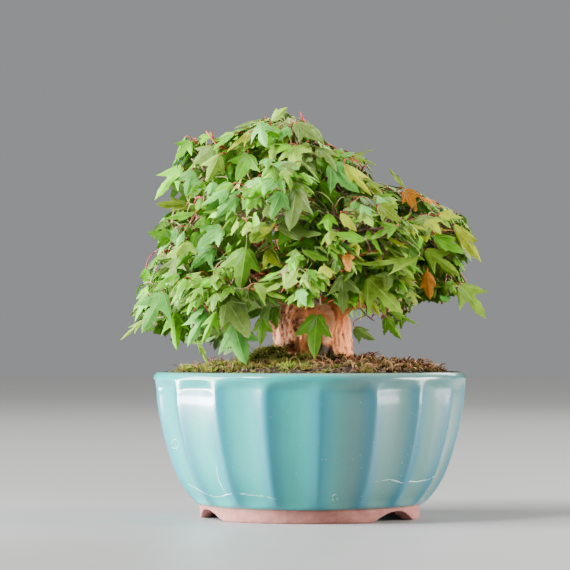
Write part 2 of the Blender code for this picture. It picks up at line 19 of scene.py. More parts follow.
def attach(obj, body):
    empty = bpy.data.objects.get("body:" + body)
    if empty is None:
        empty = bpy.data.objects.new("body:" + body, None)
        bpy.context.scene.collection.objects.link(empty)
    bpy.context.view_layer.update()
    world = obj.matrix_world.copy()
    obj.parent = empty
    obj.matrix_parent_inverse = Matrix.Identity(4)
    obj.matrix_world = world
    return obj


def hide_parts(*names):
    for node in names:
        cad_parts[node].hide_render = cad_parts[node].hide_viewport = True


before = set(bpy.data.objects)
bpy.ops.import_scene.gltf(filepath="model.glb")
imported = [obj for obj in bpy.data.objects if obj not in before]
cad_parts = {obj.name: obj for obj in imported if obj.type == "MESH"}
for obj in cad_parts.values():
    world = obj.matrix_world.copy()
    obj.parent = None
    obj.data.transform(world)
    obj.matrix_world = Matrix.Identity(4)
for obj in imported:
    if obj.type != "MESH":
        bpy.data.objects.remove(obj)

bl_info = {
    "name": "Maple bonsai",
    "version": (1, 0, 0),
    "blender": (4, 5, 0),
    "location": "View3D > Sidebar > Bonsai",
    "description": "Makes a trident maple bonsai in its fluted pot, with bark, moss, twigs and leaves",
    "category": "Add Mesh",
}

MM = 0.001
UP = Vector((0, 0, 1))
VIEWER = Vector((0, -1, 0))
GOLDEN_ANGLE = math.pi * (3 - math.sqrt(5))
BODY = "root"
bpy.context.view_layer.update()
# The pot's axis in the frame; everything is made about it and moved there at the end
POT_AXIS = Vector((1.2 * MM, 0.0, 0.0))

# Camera, worked out from the photograph in pixels
PHOTO_SIZE = 570
PIXEL = 0.5788 * MM
CAMERA_PIXELS = 2900.0
POT_COLUMN = 309.6
FLOOR_ROW = 517.0
EYE_ROW = 338.0
SENSOR = 36.0

# Pot, as its solid
POT_RADIUS = 90.0 * MM
POT_HEIGHT = 84.2 * MM
POT_WALL = 6.5 * MM
POT_UNDER = 6.1 * MM
POT_FLOOR = 14.0 * MM
POT_FLOOR_RADIUS = 52.0 * MM
FOOT_RADIUS = 63.6 * MM
FOOT_WALL = 7.0 * MM
GLAZE_START = 7.8 * MM
DRAIN_RADIUS = 6.0 * MM
WALL_ROUNDING = (1.6, 0.6)
# How much fuller the wall is than its solid, up to what height that grows, and where it fades under the lip
WALL_SWELL = 1.1 * MM
WALL_SWELL_TOP = 26.0 * MM
WALL_SWELL_FADE = (66.0 * MM, 80.0 * MM)
LIP_SWELL = 0.3 * MM
LIP_ROUNDING = 4.0 * MM
# Heights down the bowl's inside, in millimetres
INSIDE_HEIGHTS = (76, 66, 55, 45, 35, 28, 22, 18)
# Flutes: how many, where their tops fade out in an arch under the lip, and how high they begin at the foot
FLUTES = 18
FLUTE_TOP = POT_HEIGHT - 2.8 * MM
FLUTE_TOP_FADE = 6.5 * MM
FLUTE_TOP_ARCH = 4.0 * MM
FLUTE_FOOT = 5.0 * MM
FIRST_RIDGE = math.radians(3.5)
RIDGE_ROUNDING = 0.12
# The bearings between which the glaze is painted greyer and darker to the viewer's right, as painted sheen
# over painted shade, and back again behind
PAINTED_SHEEN_BEARINGS = (math.radians(-2), math.radians(20))
PAINTED_SHEEN_END_BEARINGS = (math.radians(95), math.radians(150))
FEET = 3
FIRST_ARCH = math.radians(51.0)
ARCH_HALF_ANGLE = math.radians(18.5)
ARCH_HEIGHT = 5.8 * MM
FOOT_RING_STEPS = 420
# How far the clay is worn, in millimetres
CLAY_WEAR = 0.22

# Soil, as its solid
SOIL_EDGE = 82.2 * MM
SOIL_TOP = 88.2 * MM
SOIL_PAD = 47.0 * MM
SOIL_ROUGH_FROM = 80.0 * MM
GROUND = SOIL_TOP + 0.3 * MM
# Cushions of moss: bearing in degrees, then distance, radius and height in millimetres
CUSHIONS = ((-48, 29, 12, 10), (-100, 36, 9, 5), (-5, 33, 10, 4.5), (70, 33, 9, 4), (165, 33, 11, 5.5))
# How much of its solid's size a cushion keeps under its shoots
CUSHION_SHARE = 0.94
CUSHION_UNDERSIDE = 0.15
GRAINS_EDGE = 82.0 * MM
GRAIN_TONES = ((0.12, 0.07, 0.035), (0.05, 0.035, 0.02), (0.17, 0.12, 0.06))
# Moss: how far it reaches from the axis, every how many tufts one grows on the trunk and how many millimetres
# up, then how strong a clump has to be to grow, how much more on the dry right side and less on a cushion
MOSS_EDGE = 81.0 * MM
TRUNK_TUFT = 9
MOSS_CLIMB = 5.5
MOSS_LEAST, MOSS_LEAST_RIGHT, MOSS_LEAST_RAISED = 0.10, 0.16, 0.8
# How tall the moss is on the trunk, and at most before the hollow, as a share of the usual height
LOW_MOSS = 0.7
SHOOT_RADIUS = 0.34 * MM
MOSS_STALK_RADII = (0.20, 0.24, 0.28, 0.22, 0.10)

# Trunk, as its solid: height above the soil, X, Y and radius in millimetres
TRUNK_LINE = (
    (0, 1.0, 0.0, 24.0),
    (7, 1.5, 0.0, 22.0),
    (15, 2.0, 0.0, 21.0),
    (25, 1.0, 0.0, 21.5),
    (34, -2.0, 1.0, 19.0),
    (45, -5.0, 2.0, 15.0),
    (58, -8.0, 2.0, 11.5),
    (72, -10.0, 1.0, 8.5),
    (86, -12.0, 0.0, 6.0),
    (98, -14.0, 0.0, 4.0),
)
TRUNK_RIBS = ((5, 0.035, 0.6), (8, 0.022, 2.1))
ROOT_FLARES = ((-95, 6.0), (-48, 5.0), (25, 3.5), (88, 2.5), (150, 5.0), (205, 4.5))
ROOT_FLARE_HEIGHT = 7.1
ROOT_FLARE_WIDTH = 0.34
# Knots and hollows of the trunk: bearing in degrees, height, width and bulge in millimetres
KNOTS = (
    (-75, 3, 9, 5.0),
    (-38, 2, 6, 2.5),
    (-30, 22, 9, 2.2),
    (32, 28, 9, 2.4),
    (52, 10, 7, 1.4),
    (20, 1, 8, -4.5),
    (-6, 26, 4, -3.0),
    (-10, 10, 4, -2.0),
    (120, 12, 9, 2.0),
    (170, 26, 8, 1.8),
    (215, 8, 8, 1.6),
    (255, 24, 8, 2.0),
)
# The weathered root: its bearing and its spread to each side, in degrees
PALE_ROOT = (-62, 40)
# The bearing of the side that shows the most fresh bark
FRESH_BARK = math.radians(50)
# The dark hollow at the trunk's foot, painted near black on the bark as painted shade: its bearing in degrees
# with its distance and radius in the moss, and on the bark its bearing in degrees, height in millimetres and
# radius
FOOT_HOLLOW = (16, 38.0 * MM, 11.0 * MM)
HOLLOW_SHADE = (18, 3.0, 12.0 * MM)
# The bark's pattern: how far it is drawn out upright, the waves to the metre of its warp, muscles, strips and
# flakes, how many millimetres the warp moves it, and how many steps the strips make
BARK_UPRIGHT = 0.26
WARP_WAVES, MUSCLE_WAVES, STRIP_WAVES, FLAKE_WAVES = 130, 85, 300, 420
BARK_WARP = 1.4
STRIP_STEPS = 2.6

# Boughs, as their solids
COLLAR_LENGTH = 4.0 * MM
COLLAR_SPREAD = 1.3
BOUGH_RISE = 0.45
BOUGH_BEND = 0.5
BOUGH_TIP_RADIUS = 2.0 * MM
BOUGH_ENTRY = 0.62

# Masses of foliage, as their solids: middle, half sizes, (height on the trunk, bough's radius) and seed
MASSES = {
    "apex": ((-14, 0, 213), (28, 27, 22), None, 82),
    "left_shoulder": ((-53, -4, 196), (24, 27, 22), (60, 4.2), 83),
    "left": ((-70, 2, 160), (21, 27, 20), (43, 4.6), 602),
    "left_low": ((-74, -4, 123), (24, 28, 19), (27, 5.0), 1303),
    "right_shoulder": ((25, 0, 191), (25, 27, 21), (66, 4.0), 904),
    "right": ((68, 2, 165), (24, 28, 19), (46, 4.8), 87),
    "right_low": ((78, -4, 129), (20, 27, 16), (27, 5.0), 1806),
    "right_inner": ((44, -34, 126), (20, 20, 15), (22, 4.2), 89),
    "front_high": ((-22, -44, 177), (26, 24, 21), (54, 4.2), 108),
    "front_left": ((-47, -44, 122), (23, 22, 21), (36, 4.4), 609),
    "front_right": ((24, -48, 161), (26, 23, 20), (38, 4.4), 1410),
    "front_low": ((-2, -54, 135), (22, 19, 17), (30, 4.0), 211),
    "back_high": ((-8, 48, 180), (27, 23, 20), (58, 4.2), 1112),
    "back_left": ((-47, 50, 142), (24, 23, 20), (36, 4.4), 313),
    "back_right": ((42, 52, 146), (25, 23, 19), (44, 4.4), 914),
    "back_low": ((2, 60, 124), (21, 18, 16), (25, 4.2), 315),
}
BORDER_SLACK = 6.0 * MM
LIMB_MARGIN = 0.6 * MM
LOWEST_LEAF = 90.0 * MM
LEAF_REACH = 1.6
# Masses whose heart lies before this Y, in millimetres, carry the leaves that hang below the crown
FRONT_HALF = 10
# The mass whose leaves lie in shade, which their darker tints paint
SHADED_MASS = "right_shoulder"

# Growth inside a mass
STEM_BEND = 0.4
STEM_OVERSHOOT = 0.15
# A stem's tip is lifted in steps of 2 mm until this much of the crown lies below it
STEM_LIFTS = 7
STEM_CLEARANCE = 8.0 * MM
STEM_POINTS = 8
STEM_TIP_RADIUS = 1.2 * MM
TWIG_REACH = 0.86
TWIG_SHORTEST = 0.35
TWIG_SHRINK = 0.85
TWIG_FOLLOW = 0.6
TWIG_LIFT = 0.2
TWIG_BEND = 0.5
TWIG_POINTS = 5
TWIG_RADII = (1.1 * MM, 0.55 * MM)
TWIG_BACKWARD = 0.75
FIRST_TWIG = 0.25
SIDE_TWIGS = (0.5, 0.78)
SIDE_TWIG_LENGTH = (7.0, 13.0)
SIDE_TWIG_RADII = (0.6 * MM, 0.4 * MM)
SIDE_TWIG_SPREAD = math.radians(50)
BOUGH_TWIGS = range(5, 12)
BOUGH_TWIG_LENGTH = (14.0, 26.0)
LEAF_PAIRS = (1.0, 0.82, 0.64, 0.46, 0.3)
LEAF_TRIES = 60
# How much smaller a leaf gets from its first try to its last
LEAF_SHRINK = 0.35
USUAL_LEAF = 17 * MM
LEAF_WIDTHS = (0.82, 1.22)
LEAF_SHAPES, SHAPE_SHARES = ("broad", "trident", "slender", "young"), (4, 3, 3, 2)
LEAF_STALK = (6.0, 15.0)
STALK_SPREAD = math.radians(58)
STALK_LIFT = 0.15
STALK_SCATTER = 0.35
STALK_RADII = (0.36 * MM, 0.29 * MM)
PAIR_SCATTER = 0.3
SIDE_SCATTER = 0.4
# A leaf points out of its mass and out of the tree, falls, follows its stalk and strays, by these shares
LEAF_OUT, LEAF_OUTWARD, LEAF_FALL, LEAF_FOLLOW, LEAF_SCATTER = 0.8, 0.4, 0.7, 0.35, 0.5
# The top of a leaf faces out of its mass, sideways and up, and strays, by these shares
FACE_OUT, FACE_LEVEL, FACE_UP, FACE_SCATTER = 0.8, 0.3, 0.5, 0.35

# Half outlines of leaves from the base round the side lobe to the tip, as shares of the leaf's length, after
# the numbers of the points at the side lobe's tip and at the notch between the lobes
LEAF_OUTLINES = {
    "broad": (7, 11, (
        (0.10, -0.03), (0.22, 0.01), (0.31, 0.08), (0.35, 0.17), (0.43, 0.22), (0.45, 0.31), (0.53, 0.38),
        (0.59, 0.51), (0.47, 0.46), (0.38, 0.47), (0.30, 0.44), (0.22, 0.46), (0.255, 0.56), (0.21, 0.62),
        (0.20, 0.72), (0.12, 0.83), (0.07, 0.92),
    )),
    "trident": (5, 8, (
        (0.11, -0.02), (0.24, 0.04), (0.34, 0.13), (0.40, 0.26), (0.43, 0.38), (0.47, 0.53), (0.36, 0.45),
        (0.26, 0.42), (0.18, 0.44), (0.19, 0.55), (0.16, 0.69), (0.09, 0.86),
    )),
    "slender": (6, 10, (
        (0.08, -0.01), (0.17, 0.03), (0.25, 0.11), (0.30, 0.20), (0.40, 0.29), (0.45, 0.40), (0.57, 0.54),
        (0.42, 0.46), (0.30, 0.42), (0.20, 0.39), (0.13, 0.41), (0.15, 0.50), (0.18, 0.60), (0.15, 0.68),
        (0.13, 0.78), (0.06, 0.90),
    )),
    "young": (6, 9, (
        (0.08, 0.01), (0.18, 0.08), (0.26, 0.18), (0.31, 0.30), (0.36, 0.38), (0.36, 0.46), (0.41, 0.57),
        (0.34, 0.56), (0.29, 0.58), (0.24, 0.56), (0.24, 0.64), (0.21, 0.70), (0.19, 0.78), (0.11, 0.87),
        (0.06, 0.94),
    )),
}
SIDE_RIB_STATIONS = (0.38, 0.72)
MIDDLE_RIB_STATIONS = (0.27, 0.52, 0.77)
RIB_HALF_WIDTH = 0.013
SIDE_RIB_TAPER, MIDDLE_RIB_TAPER = 0.35, 0.25
LEAF_THICKNESS = 0.013
LEAF_CREASE = 0.17
# How much narrower than its outline a usual leaf is, and how far the teeth of its variants stray
LEAF_WIDTH = 0.84
LEAF_VARIANTS = 4
TOOTH_SCATTER = 0.017
RIM_ANGLE = math.radians(60)
# Between which values a leaf droops, cups, twists, is wider on one side and waves
LEAF_DROOP = (0.02, 0.4)
LEAF_CUP = (-0.3, 0.75)
LEAF_TWIST = (-0.4, 0.4)
LEAF_SKEW = (0.82, 1.18)
LEAF_WAVE = (0.01, 0.13)
RED_STALKS, RED_PHOTO_STALKS = 0.28, 0.75

# The crown's outline in the photograph, in pixels, going round from the top
CROWN_OUTLINE = (
    (284, 110), (300, 118), (316, 124), (324, 141), (350, 153), (370, 154), (375, 183), (401, 187),
    (420, 194), (444, 204), (464, 216), (475, 236), (482, 256), (470, 266), (462, 276), (470, 286),
    (476, 300), (458, 297), (442, 305), (422, 303), (412, 309), (404, 332), (385, 332), (372, 336),
    (354, 330), (344, 312), (326, 306), (306, 312), (290, 304), (281, 318), (270, 335), (258, 344),
    (252, 358), (222, 356), (205, 345), (180, 348), (162, 336), (140, 334), (130, 318), (134, 300),
    (140, 272), (152, 262), (160, 248), (150, 236), (152, 224), (165, 216), (156, 202), (162, 178),
    (174, 158), (182, 138), (200, 132), (222, 134), (236, 124), (256, 122), (268, 114),
)

# Leaves that show plainly in the photograph: pixel of the base, pixel of the tip, how far the blade is tilted
# from facing the viewer (0) to facing up (1), shape, width as a share of the usual, and tint
PHOTO_LEAVES = (
    ((317, 315), (313, 357), 0.05, "broad", 0.88, "green"),
    ((461, 285), (485, 318), 0.1, "slender", 0.9, "pale"),
    ((227, 301), (250, 336), 0.1, "broad", 1.15, "grey"),
    ((234, 326), (246, 364), 0.1, "broad", 1.1, "mint"),
    ((143, 320), (120, 339), 0.3, "slender", 0.35, "pale"),
    ((163, 292), (142, 333), 0.1, "slender", 0.95, "mint"),
    ((170, 238), (149, 231), 0.1, "broad", 1.2, "fresh"),
    ((192, 206), (156, 202), 0.45, "young", 1.0, "olive"),
    ((195, 212), (164, 218), 0.5, "young", 0.8, "fresh"),
    ((181, 166), (153, 197), 0.3, "slender", 0.75, "lime"),
    ((192, 170), (186, 197), 0.15, "slender", 1.05, "mint"),
    ((212, 147), (192, 163), 0.2, "broad", 1.1, "grey"),
    ((190, 141), (175, 160), 0.1, "slender", 1.0, "lime"),
    ((219, 156), (207, 182), 0.1, "broad", 0.9, "pale"),
    ((248, 154), (236, 182), 0.15, "broad", 1.15, "fresh"),
    ((271, 121), (286, 107), 0.2, "young", 0.9, "pale"),
    ((297, 123), (322, 141), 0.3, "broad", 0.95, "grey"),
    ((354, 155), (374, 148), 0.5, "slender", 0.6, "olive"),
    ((354, 156), (377, 162), 0.4, "slender", 0.6, "olive"),
    ((331, 164), (360, 191), 0.1, "broad", 0.95, "mint"),
    ((320, 181), (338, 214), 0.2, "young", 0.7, "fresh"),
    ((341, 213), (357, 230), 0.2, "young", 0.7, "yellow"),
    ((296, 188), (290, 231), 0.05, "broad", 0.95, "grey"),
    ((281, 192), (270, 218), 0.15, "broad", 1.0, "mint"),
    ((277, 226), (322, 231), 0.5, "young", 0.95, "grey"),
    ((246, 249), (240, 290), 0.05, "broad", 1.0, "green"),
    ((268, 250), (283, 266), 0.2, "broad", 1.25, "yellow"),
    ((284, 288), (296, 268), 0.2, "young", 1.0, "pale"),
    ((255, 284), (287, 296), 0.35, "slender", 1.0, "pale"),
    ((303, 250), (330, 259), 0.5, "young", 1.0, "green"),
    ((342, 276), (342, 313), 0.1, "slender", 1.0, "grey"),
    ((368, 278), (403, 312), 0.15, "slender", 1.1, "pale"),
    ((360, 285), (382, 315), 0.2, "slender", 0.7, "yellow"),
    ((365, 240), (336, 231), 0.4, "young", 0.9, "fresh"),
    ((418, 257), (356, 262), 0.55, "slender", 0.5, "pale"),
    ((426, 250), (460, 275), 0.2, "slender", 0.8, "pale"),
    ((434, 236), (464, 252), 0.3, "young", 0.9, "fresh"),
    ((454, 224), (481, 262), 0.2, "young", 0.55, "yellow"),
    ((427, 271), (430, 299), 0.2, "young", 0.85, "autumn"),
    ((406, 190), (416, 212), 0.2, "broad", 0.9, "autumn"),
    ((421, 197), (446, 207), 0.5, "slender", 0.5, "autumn"),
    ((440, 214), (464, 217), 0.4, "broad", 0.8, "yellow"),
    ((405, 188), (389, 168), 0.1, "young", 0.3, "olive"),
    ((355, 328), (376, 340), 0.3, "broad", 0.9, "grey"),
    ((386, 317), (402, 339), 0.2, "broad", 0.8, "green"),
    ((391, 311), (420, 322), 0.5, "slender", 0.6, "green"),
    ((197, 340), (208, 364), 0.2, "young", 0.3, "pale"),
    ((173, 311), (177, 350), 0.15, "slender", 0.8, "lime"),
    ((206, 312), (187, 346), 0.15, "slender", 0.85, "mint"),
    ((216, 312), (202, 343), 0.2, "slender", 0.6, "lime"),
    ((262, 318), (260, 346), 0.2, "broad", 0.8, "green"),
    ((274, 306), (277, 328), 0.2, "young", 0.8, "green"),
    ((146, 268), (147, 286), 0.2, "young", 0.9, "lime"),
    ((396, 226), (370, 238), 0.3, "slender", 0.9, "green"),
    ((380, 205), (402, 222), 0.3, "broad", 1.0, "olive"),
    ((345, 165), (372, 196), 0.3, "slender", 0.6, "yellow"),
    ((222, 228), (196, 246), 0.2, "broad", 1.0, "mint"),
    ((213, 248), (190, 268), 0.15, "broad", 1.05, "mint"),
    ((236, 196), (216, 218), 0.2, "broad", 0.9, "mint"),
    ((262, 262), (240, 262), 0.3, "broad", 0.8, "green"),
)
PHOTO_LEAF_LEAN = 0.3
PHOTO_LEAF_CLEARANCE = 0.42
# A leaf further than this from the nearest twig gets a twig of its own, up to this far from its base, in
# millimetres
TWIG_WANTED, TWIG_TO_LEAF = 16, 11
# Bare red shoots that show against the sky: pixels from the root to the tip
PHOTO_SHOOTS = (
    ((232, 152), (218, 146), (206, 131)),
    ((224, 148), (214, 141), (211, 131)),
    ((322, 163), (322, 155), (323, 145)),
    ((306, 124), (302, 118), (301, 112)),
    ((343, 272), (334, 266), (332, 265)),
    ((344, 272), (349, 266), (352, 258)),
)
SHOOT_RADII = (0.75 * MM, 0.65 * MM, 0.5 * MM)

# Where the photograph looks past the leaves on to wood: middle and half width in pixels
PHOTO_OPENINGS = (((361, 314), 9), ((293, 322), 9), ((335, 322), 8))

# Lime marks on the glaze: pixels along each mark, and the middle and half width of each ring
LIME_MARKS = (
    ((216, 463), (217, 474), (221, 485), (227, 495)),
    ((188, 484), (197, 489), (204, 493), (214, 497), (227, 495), (236, 493), (248, 495), (262, 496),
     (276, 499)),
    ((372, 482), (390, 480), (404, 483), (428, 480), (434, 476)),
)
LIME_RINGS = (((175, 444), 5.0), ((335, 498), 4.0))
# How far a mark stands out of the glaze, in millimetres
LIME_THICKNESS = 0.12

# Leaf tints, and the share of each on the tree's left, middle and right and on its shaded shoulder
TINTS = ("deep", "green", "fresh", "grey", "mint", "lime", "pale", "olive", "yellow", "autumn")
# Shares partly paint light: minty sheen on the left, warm fill on the right, painted shade on the shoulder
TINT_SHARES = {
    "left": (0.17, 0.20, 0.18, 0.10, 0.15, 0.12, 0.07, 0.01, 0.00, 0.00),
    "middle": (0.02, 0.09, 0.20, 0.17, 0.13, 0.14, 0.21, 0.01, 0.03, 0.00),
    "right": (0.06, 0.15, 0.13, 0.17, 0.03, 0.05, 0.22, 0.11, 0.05, 0.03),
    "shoulder": (0.14, 0.22, 0.13, 0.15, 0.03, 0.04, 0.11, 0.14, 0.02, 0.02),
}
# How many leaves differ in tint from the others on their twig
STRAY_TINTS = 0.3
# A blade's two tones as shares of its tint, and how far its rim, ribs and underside turn to their own colours
BLADE_BRIGHT, BLADE_DULL = 1.28, (0.60, 0.53, 0.6)
RIM_SHARE, RIB_SHARE, BACK_SHARE = 0.14, 0.5, 0.45

# Stage
FLOOR_RADIUS = 6.0
SUN_SPREAD = math.radians(14)
SUN_TURN = (math.radians(24), math.radians(-38), 0)


def bearing(angle):
    """The level direction at this angle, counted from the viewer's side round towards the right."""
    return Vector((math.sin(angle), -math.cos(angle), 0))


def smooth_step(low, high, value):
    share = max(0.0, min(1.0, (value - low) / (high - low)))
    return share * share * (3 - 2 * share)


# Materials


class Finish(NamedTuple):
    """How a surface is mottled with a second tone, how rough it is and what fine relief it has."""

    scale: float  # patches to the metre
    roughness: tuple  # of the one tone and of the other
    share: float = 0.5  # where the second tone takes over
    contrast: float = 0.2  # how wide the passage between the tones is
    relief: tuple = (300, 1500, 0.4)  # coarse and fine grains to the metre, and the fine ones' share
    depth: float = 0.3
    height: float = 0.3 * MM
    coat: float = 0.0
    specular: float = 0.5


FINISHES = {
    "celadon_glaze": Finish(38.0, (0.15, 0.22), 0.55, 0.35, (60, 900, 0.12), 0.10, 0.5 * MM, coat=0.3),
    "foot_clay": Finish(240.0, (0.75, 0.92), 0.48, 0.16, (500, 2600, 0.5), 0.5, 0.35 * MM),
    "lime_crust": Finish(900.0, (0.5, 0.7), depth=0.2),
    "damp_soil": Finish(260.0, (0.85, 0.97), 0.5, 0.12, (450, 2200, 0.5), 0.9, 0.6 * MM),
    "grain": Finish(700.0, (0.85, 0.95), depth=0.5),
    "moss_mound": Finish(420.0, (0.9, 1.0), 0.5, 0.15, (900, 3000, 0.5), 0.8, 0.5 * MM),
    "moss_shoot": Finish(300.0, (0.8, 0.95), depth=0.1, specular=0.15),
    "moss_stalk": Finish(500.0, (0.6, 0.8)),
    "flaking_bark": Finish(260.0, (0.62, 0.85), 0.5, 0.2, (700, 2600, 0.5), 0.8, 0.5 * MM, specular=0.35),
    "leaf": Finish(130.0, (0.40, 0.55), 0.5, 0.17, (420, 1800, 0.35), 0.5, 0.3 * MM, specular=0.15),
    "rib": Finish(400.0, (0.45, 0.6), depth=0.1, specular=0.2),
    "leaf_back": Finish(200.0, (0.6, 0.75), 0.5, 0.25, (420, 1800, 0.35), 0.35, 0.25 * MM, specular=0.2),
    "twig_bark": Finish(300.0, (0.7, 0.85), depth=0.5),
    "twig_young": Finish(260.0, (0.55, 0.7), depth=0.3),
    "stalk_red": Finish(300.0, (0.4, 0.55)),
    "stalk_green": Finish(150.0, (0.45, 0.6), 0.6, 0.1),
    "studio_floor": Finish(6.0, (0.44, 0.48), depth=0.01),
}


def shaded(colour, share):
    return [part * share for part in colour]


def feed(node, inputs):
    """Give a node's inputs their values, or the sockets that feed them."""
    for name, value in inputs.items():
        if isinstance(value, bpy.types.NodeSocket):
            node.id_data.links.new(value, node.inputs[name])
        else:
            node.inputs[name].default_value = value


def add_node(tree, kind, inputs, **properties):
    node = tree.nodes.new(f"ShaderNode{kind}")
    for name, value in properties.items():
        setattr(node, name, value)
    feed(node, inputs)
    return node


def object_place(tree):
    return add_node(tree, "TexCoord", {}).outputs["Object"]


def mixed(tree, amount, under, over):
    mix = add_node(tree, "Mix", {"Factor": amount, "A": under, "B": over}, data_type="RGBA")
    return mix.outputs["Result"]


def new_group(name, inputs, outputs):
    """An empty shader node group with these sockets, each given as (name, kind, default)."""
    group = bpy.data.node_groups.new(name, "ShaderNodeTree")
    for socket_name, kind, default in inputs:
        socket = group.interface.new_socket(socket_name, in_out="INPUT", socket_type=kind)
        socket.default_value = default
    for socket_name, kind in outputs:
        group.interface.new_socket(socket_name, in_out="OUTPUT", socket_type=kind)
    return group, group.nodes.new("NodeGroupInput"), group.nodes.new("NodeGroupOutput")


def mottle_group():
    """Two tones in patches, with a finer scatter over them."""
    if "Mottle" in bpy.data.node_groups:
        return bpy.data.node_groups["Mottle"]
    colour, number = "NodeSocketColor", "NodeSocketFloat"
    group, start, end = new_group(
        "Mottle",
        [("Colour", colour, (0.5, 0.5, 0.5, 1)), ("Other Colour", colour, (0.3, 0.3, 0.3, 1)),
         ("Scale", number, 100.0), ("Contrast", number, 0.2), ("Share", number, 0.5)],
        [("Colour", colour), ("Mask", number)],
    )
    given = start.outputs
    patches = add_node(group, "TexNoise", {
        "Vector": object_place(group), "Scale": given["Scale"], "Detail": 5.0, "Roughness": 0.62,
    })
    low, high = (
        add_node(group, "Math", {0: given["Share"], 1: given["Contrast"]}, operation=kind).outputs[0]
        for kind in ("SUBTRACT", "ADD")
    )
    span = add_node(group, "MapRange", {"Value": patches.outputs["Fac"], "From Min": low, "From Max": high})
    mask = span.outputs["Result"]
    feed(end, {"Colour": mixed(group, mask, given["Colour"], given["Other Colour"]), "Mask": mask})
    return group


def relief_group():
    """A height made of coarse lumps and fine grain."""
    if "Relief" in bpy.data.node_groups:
        return bpy.data.node_groups["Relief"]
    number = "NodeSocketFloat"
    group, start, end = new_group(
        "Relief",
        [("Coarse Scale", number, 100.0), ("Fine Scale", number, 900.0), ("Fine Share", number, 0.4)],
        [("Height", number)],
    )
    given, place = start.outputs, object_place(group)
    coarse, fine = (
        add_node(group, "TexNoise", {"Vector": place, "Scale": given[scale], "Detail": 3.0}).outputs["Fac"]
        for scale in ("Coarse Scale", "Fine Scale")
    )
    height = add_node(group, "Mix", {"Factor": given["Fine Share"], "A": coarse, "B": fine})
    feed(end, {"Height": height.outputs["Result"]})
    return group


def surface(name, colour, other, finish=None):
    """A material of two mottled tones with a finish's roughness and fine relief."""
    look = FINISHES[finish or name]
    material = bpy.data.materials.new(name)
    material.use_nodes = True
    tree = material.node_tree
    tone = add_node(tree, "Group", {
        "Colour": (*colour, 1), "Other Colour": (*other, 1), "Scale": look.scale, "Share": look.share,
        "Contrast": look.contrast,
    }, node_tree=mottle_group())
    gloss = add_node(tree, "MapRange", {
        "Value": tone.outputs["Mask"], "To Min": look.roughness[0], "To Max": look.roughness[1],
    })
    coarse, fine, fine_share = look.relief
    grain = add_node(tree, "Group", {
        "Coarse Scale": coarse, "Fine Scale": fine, "Fine Share": fine_share,
    }, node_tree=relief_group())
    bump = add_node(tree, "Bump", {
        "Height": grain.outputs["Height"], "Strength": look.depth, "Distance": look.height,
    })
    feed(tree.nodes["Principled BSDF"], {
        "Base Color": tone.outputs["Colour"], "Roughness": gloss.outputs["Result"], "Metallic": 0.0,
        "Specular IOR Level": look.specular, "Coat Weight": look.coat, "Normal": bump.outputs["Normal"],
    })
    return material


def mix_over(material, amount, colour):
    """Mix another colour over a material's base colour."""
    base = material.node_tree.nodes["Principled BSDF"].inputs["Base Color"]
    over = mixed(material.node_tree, amount, base.links[0].from_socket, (*colour, 1))
    material.node_tree.links.new(over, base)


def painted_over(material, attribute, colour, low, high):
    """Mix another colour over the base colour where an attribute of the mesh runs from low to high."""
    tree = material.node_tree
    amount = add_node(tree, "Attribute", {}, attribute_name=attribute)
    span = add_node(tree, "MapRange", {"Value": amount.outputs["Fac"], "From Min": low, "From Max": high})
    mix_over(material, span.outputs["Result"], colour)


# Making pieces


def finished(mesh, name, materials, replaced=(), smooth=True, sharp=None):
    """Make the piece of a mesh made about the pot's axis, and hang it on the plant's body."""
    mesh.transform(Matrix.Translation(POT_AXIS))
    for material in materials:
        mesh.materials.append(material)
    if smooth:
        mesh.shade_smooth()
    if sharp:
        mesh.set_sharp_from_angle(angle=sharp)
    piece = bpy.data.objects.new(name, mesh)
    bpy.context.scene.collection.objects.link(piece)
    if replaced:
        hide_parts(*replaced)
    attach(piece, BODY)


def mesh_of(bm, name):
    mesh = bpy.data.meshes.new(name)
    bm.to_mesh(mesh)
    bm.free()
    return mesh


def paint(mesh, name, values):
    layer = mesh.attributes.new(name, "FLOAT", "POINT")
    layer.data.foreach_set("value", np.asarray(values, np.float32))


class Joined:
    """Many small shapes gathered into one mesh."""

    def __init__(self):
        self.points = []
        self.faces = []
        self.slots = []
        self.count = 0

    def add(self, points, faces, slots=None):
        self.points.append(np.asarray(points, float))
        self.faces += [tuple(k + self.count for k in face) for face in faces]
        self.slots += slots if slots is not None else [0] * len(faces)
        self.count += len(points)

    def mesh(self, name):
        made = bpy.data.meshes.new(name)
        made.from_pydata(np.concatenate(self.points).tolist(), [], self.faces)
        made.polygons.foreach_set("material_index", self.slots)
        return made


def tube_shape(points, radii, sides):
    """Rings round a line and the faces between them, closed at both ends."""
    way = (points[1] - points[0]).normalized()
    side = way.orthogonal().normalized()
    corners = []
    last = len(points) - 1
    for k, point in enumerate(points):
        new_way = (points[min(k + 1, last)] - points[max(k - 1, 0)]).normalized()
        side = way.rotation_difference(new_way) @ side
        way = new_way
        other = way.cross(side)
        for n in range(sides):
            turn = 2 * math.pi * n / sides
            corners.append(point + (side * math.cos(turn) + other * math.sin(turn)) * radii[k])
    faces = []
    for k in range(last):
        for n in range(sides):
            a, b = k * sides + n, k * sides + (n + 1) % sides
            faces.append((a, b, b + sides, a + sides))
    faces.append(tuple(range(sides - 1, -1, -1)))
    faces.append(tuple(range(last * sides, (last + 1) * sides)))
    return corners, faces


def curve_points(start, middle, end, steps):
    points = []
    for k in range(steps + 1):
        t = k / steps
        points.append(start * (1 - t) ** 2 + middle * (2 * t * (1 - t)) + end * t**2)
    return points


def tapered(first, last, steps):
    return [first + (last - first) * k / steps for k in range(steps + 1)]


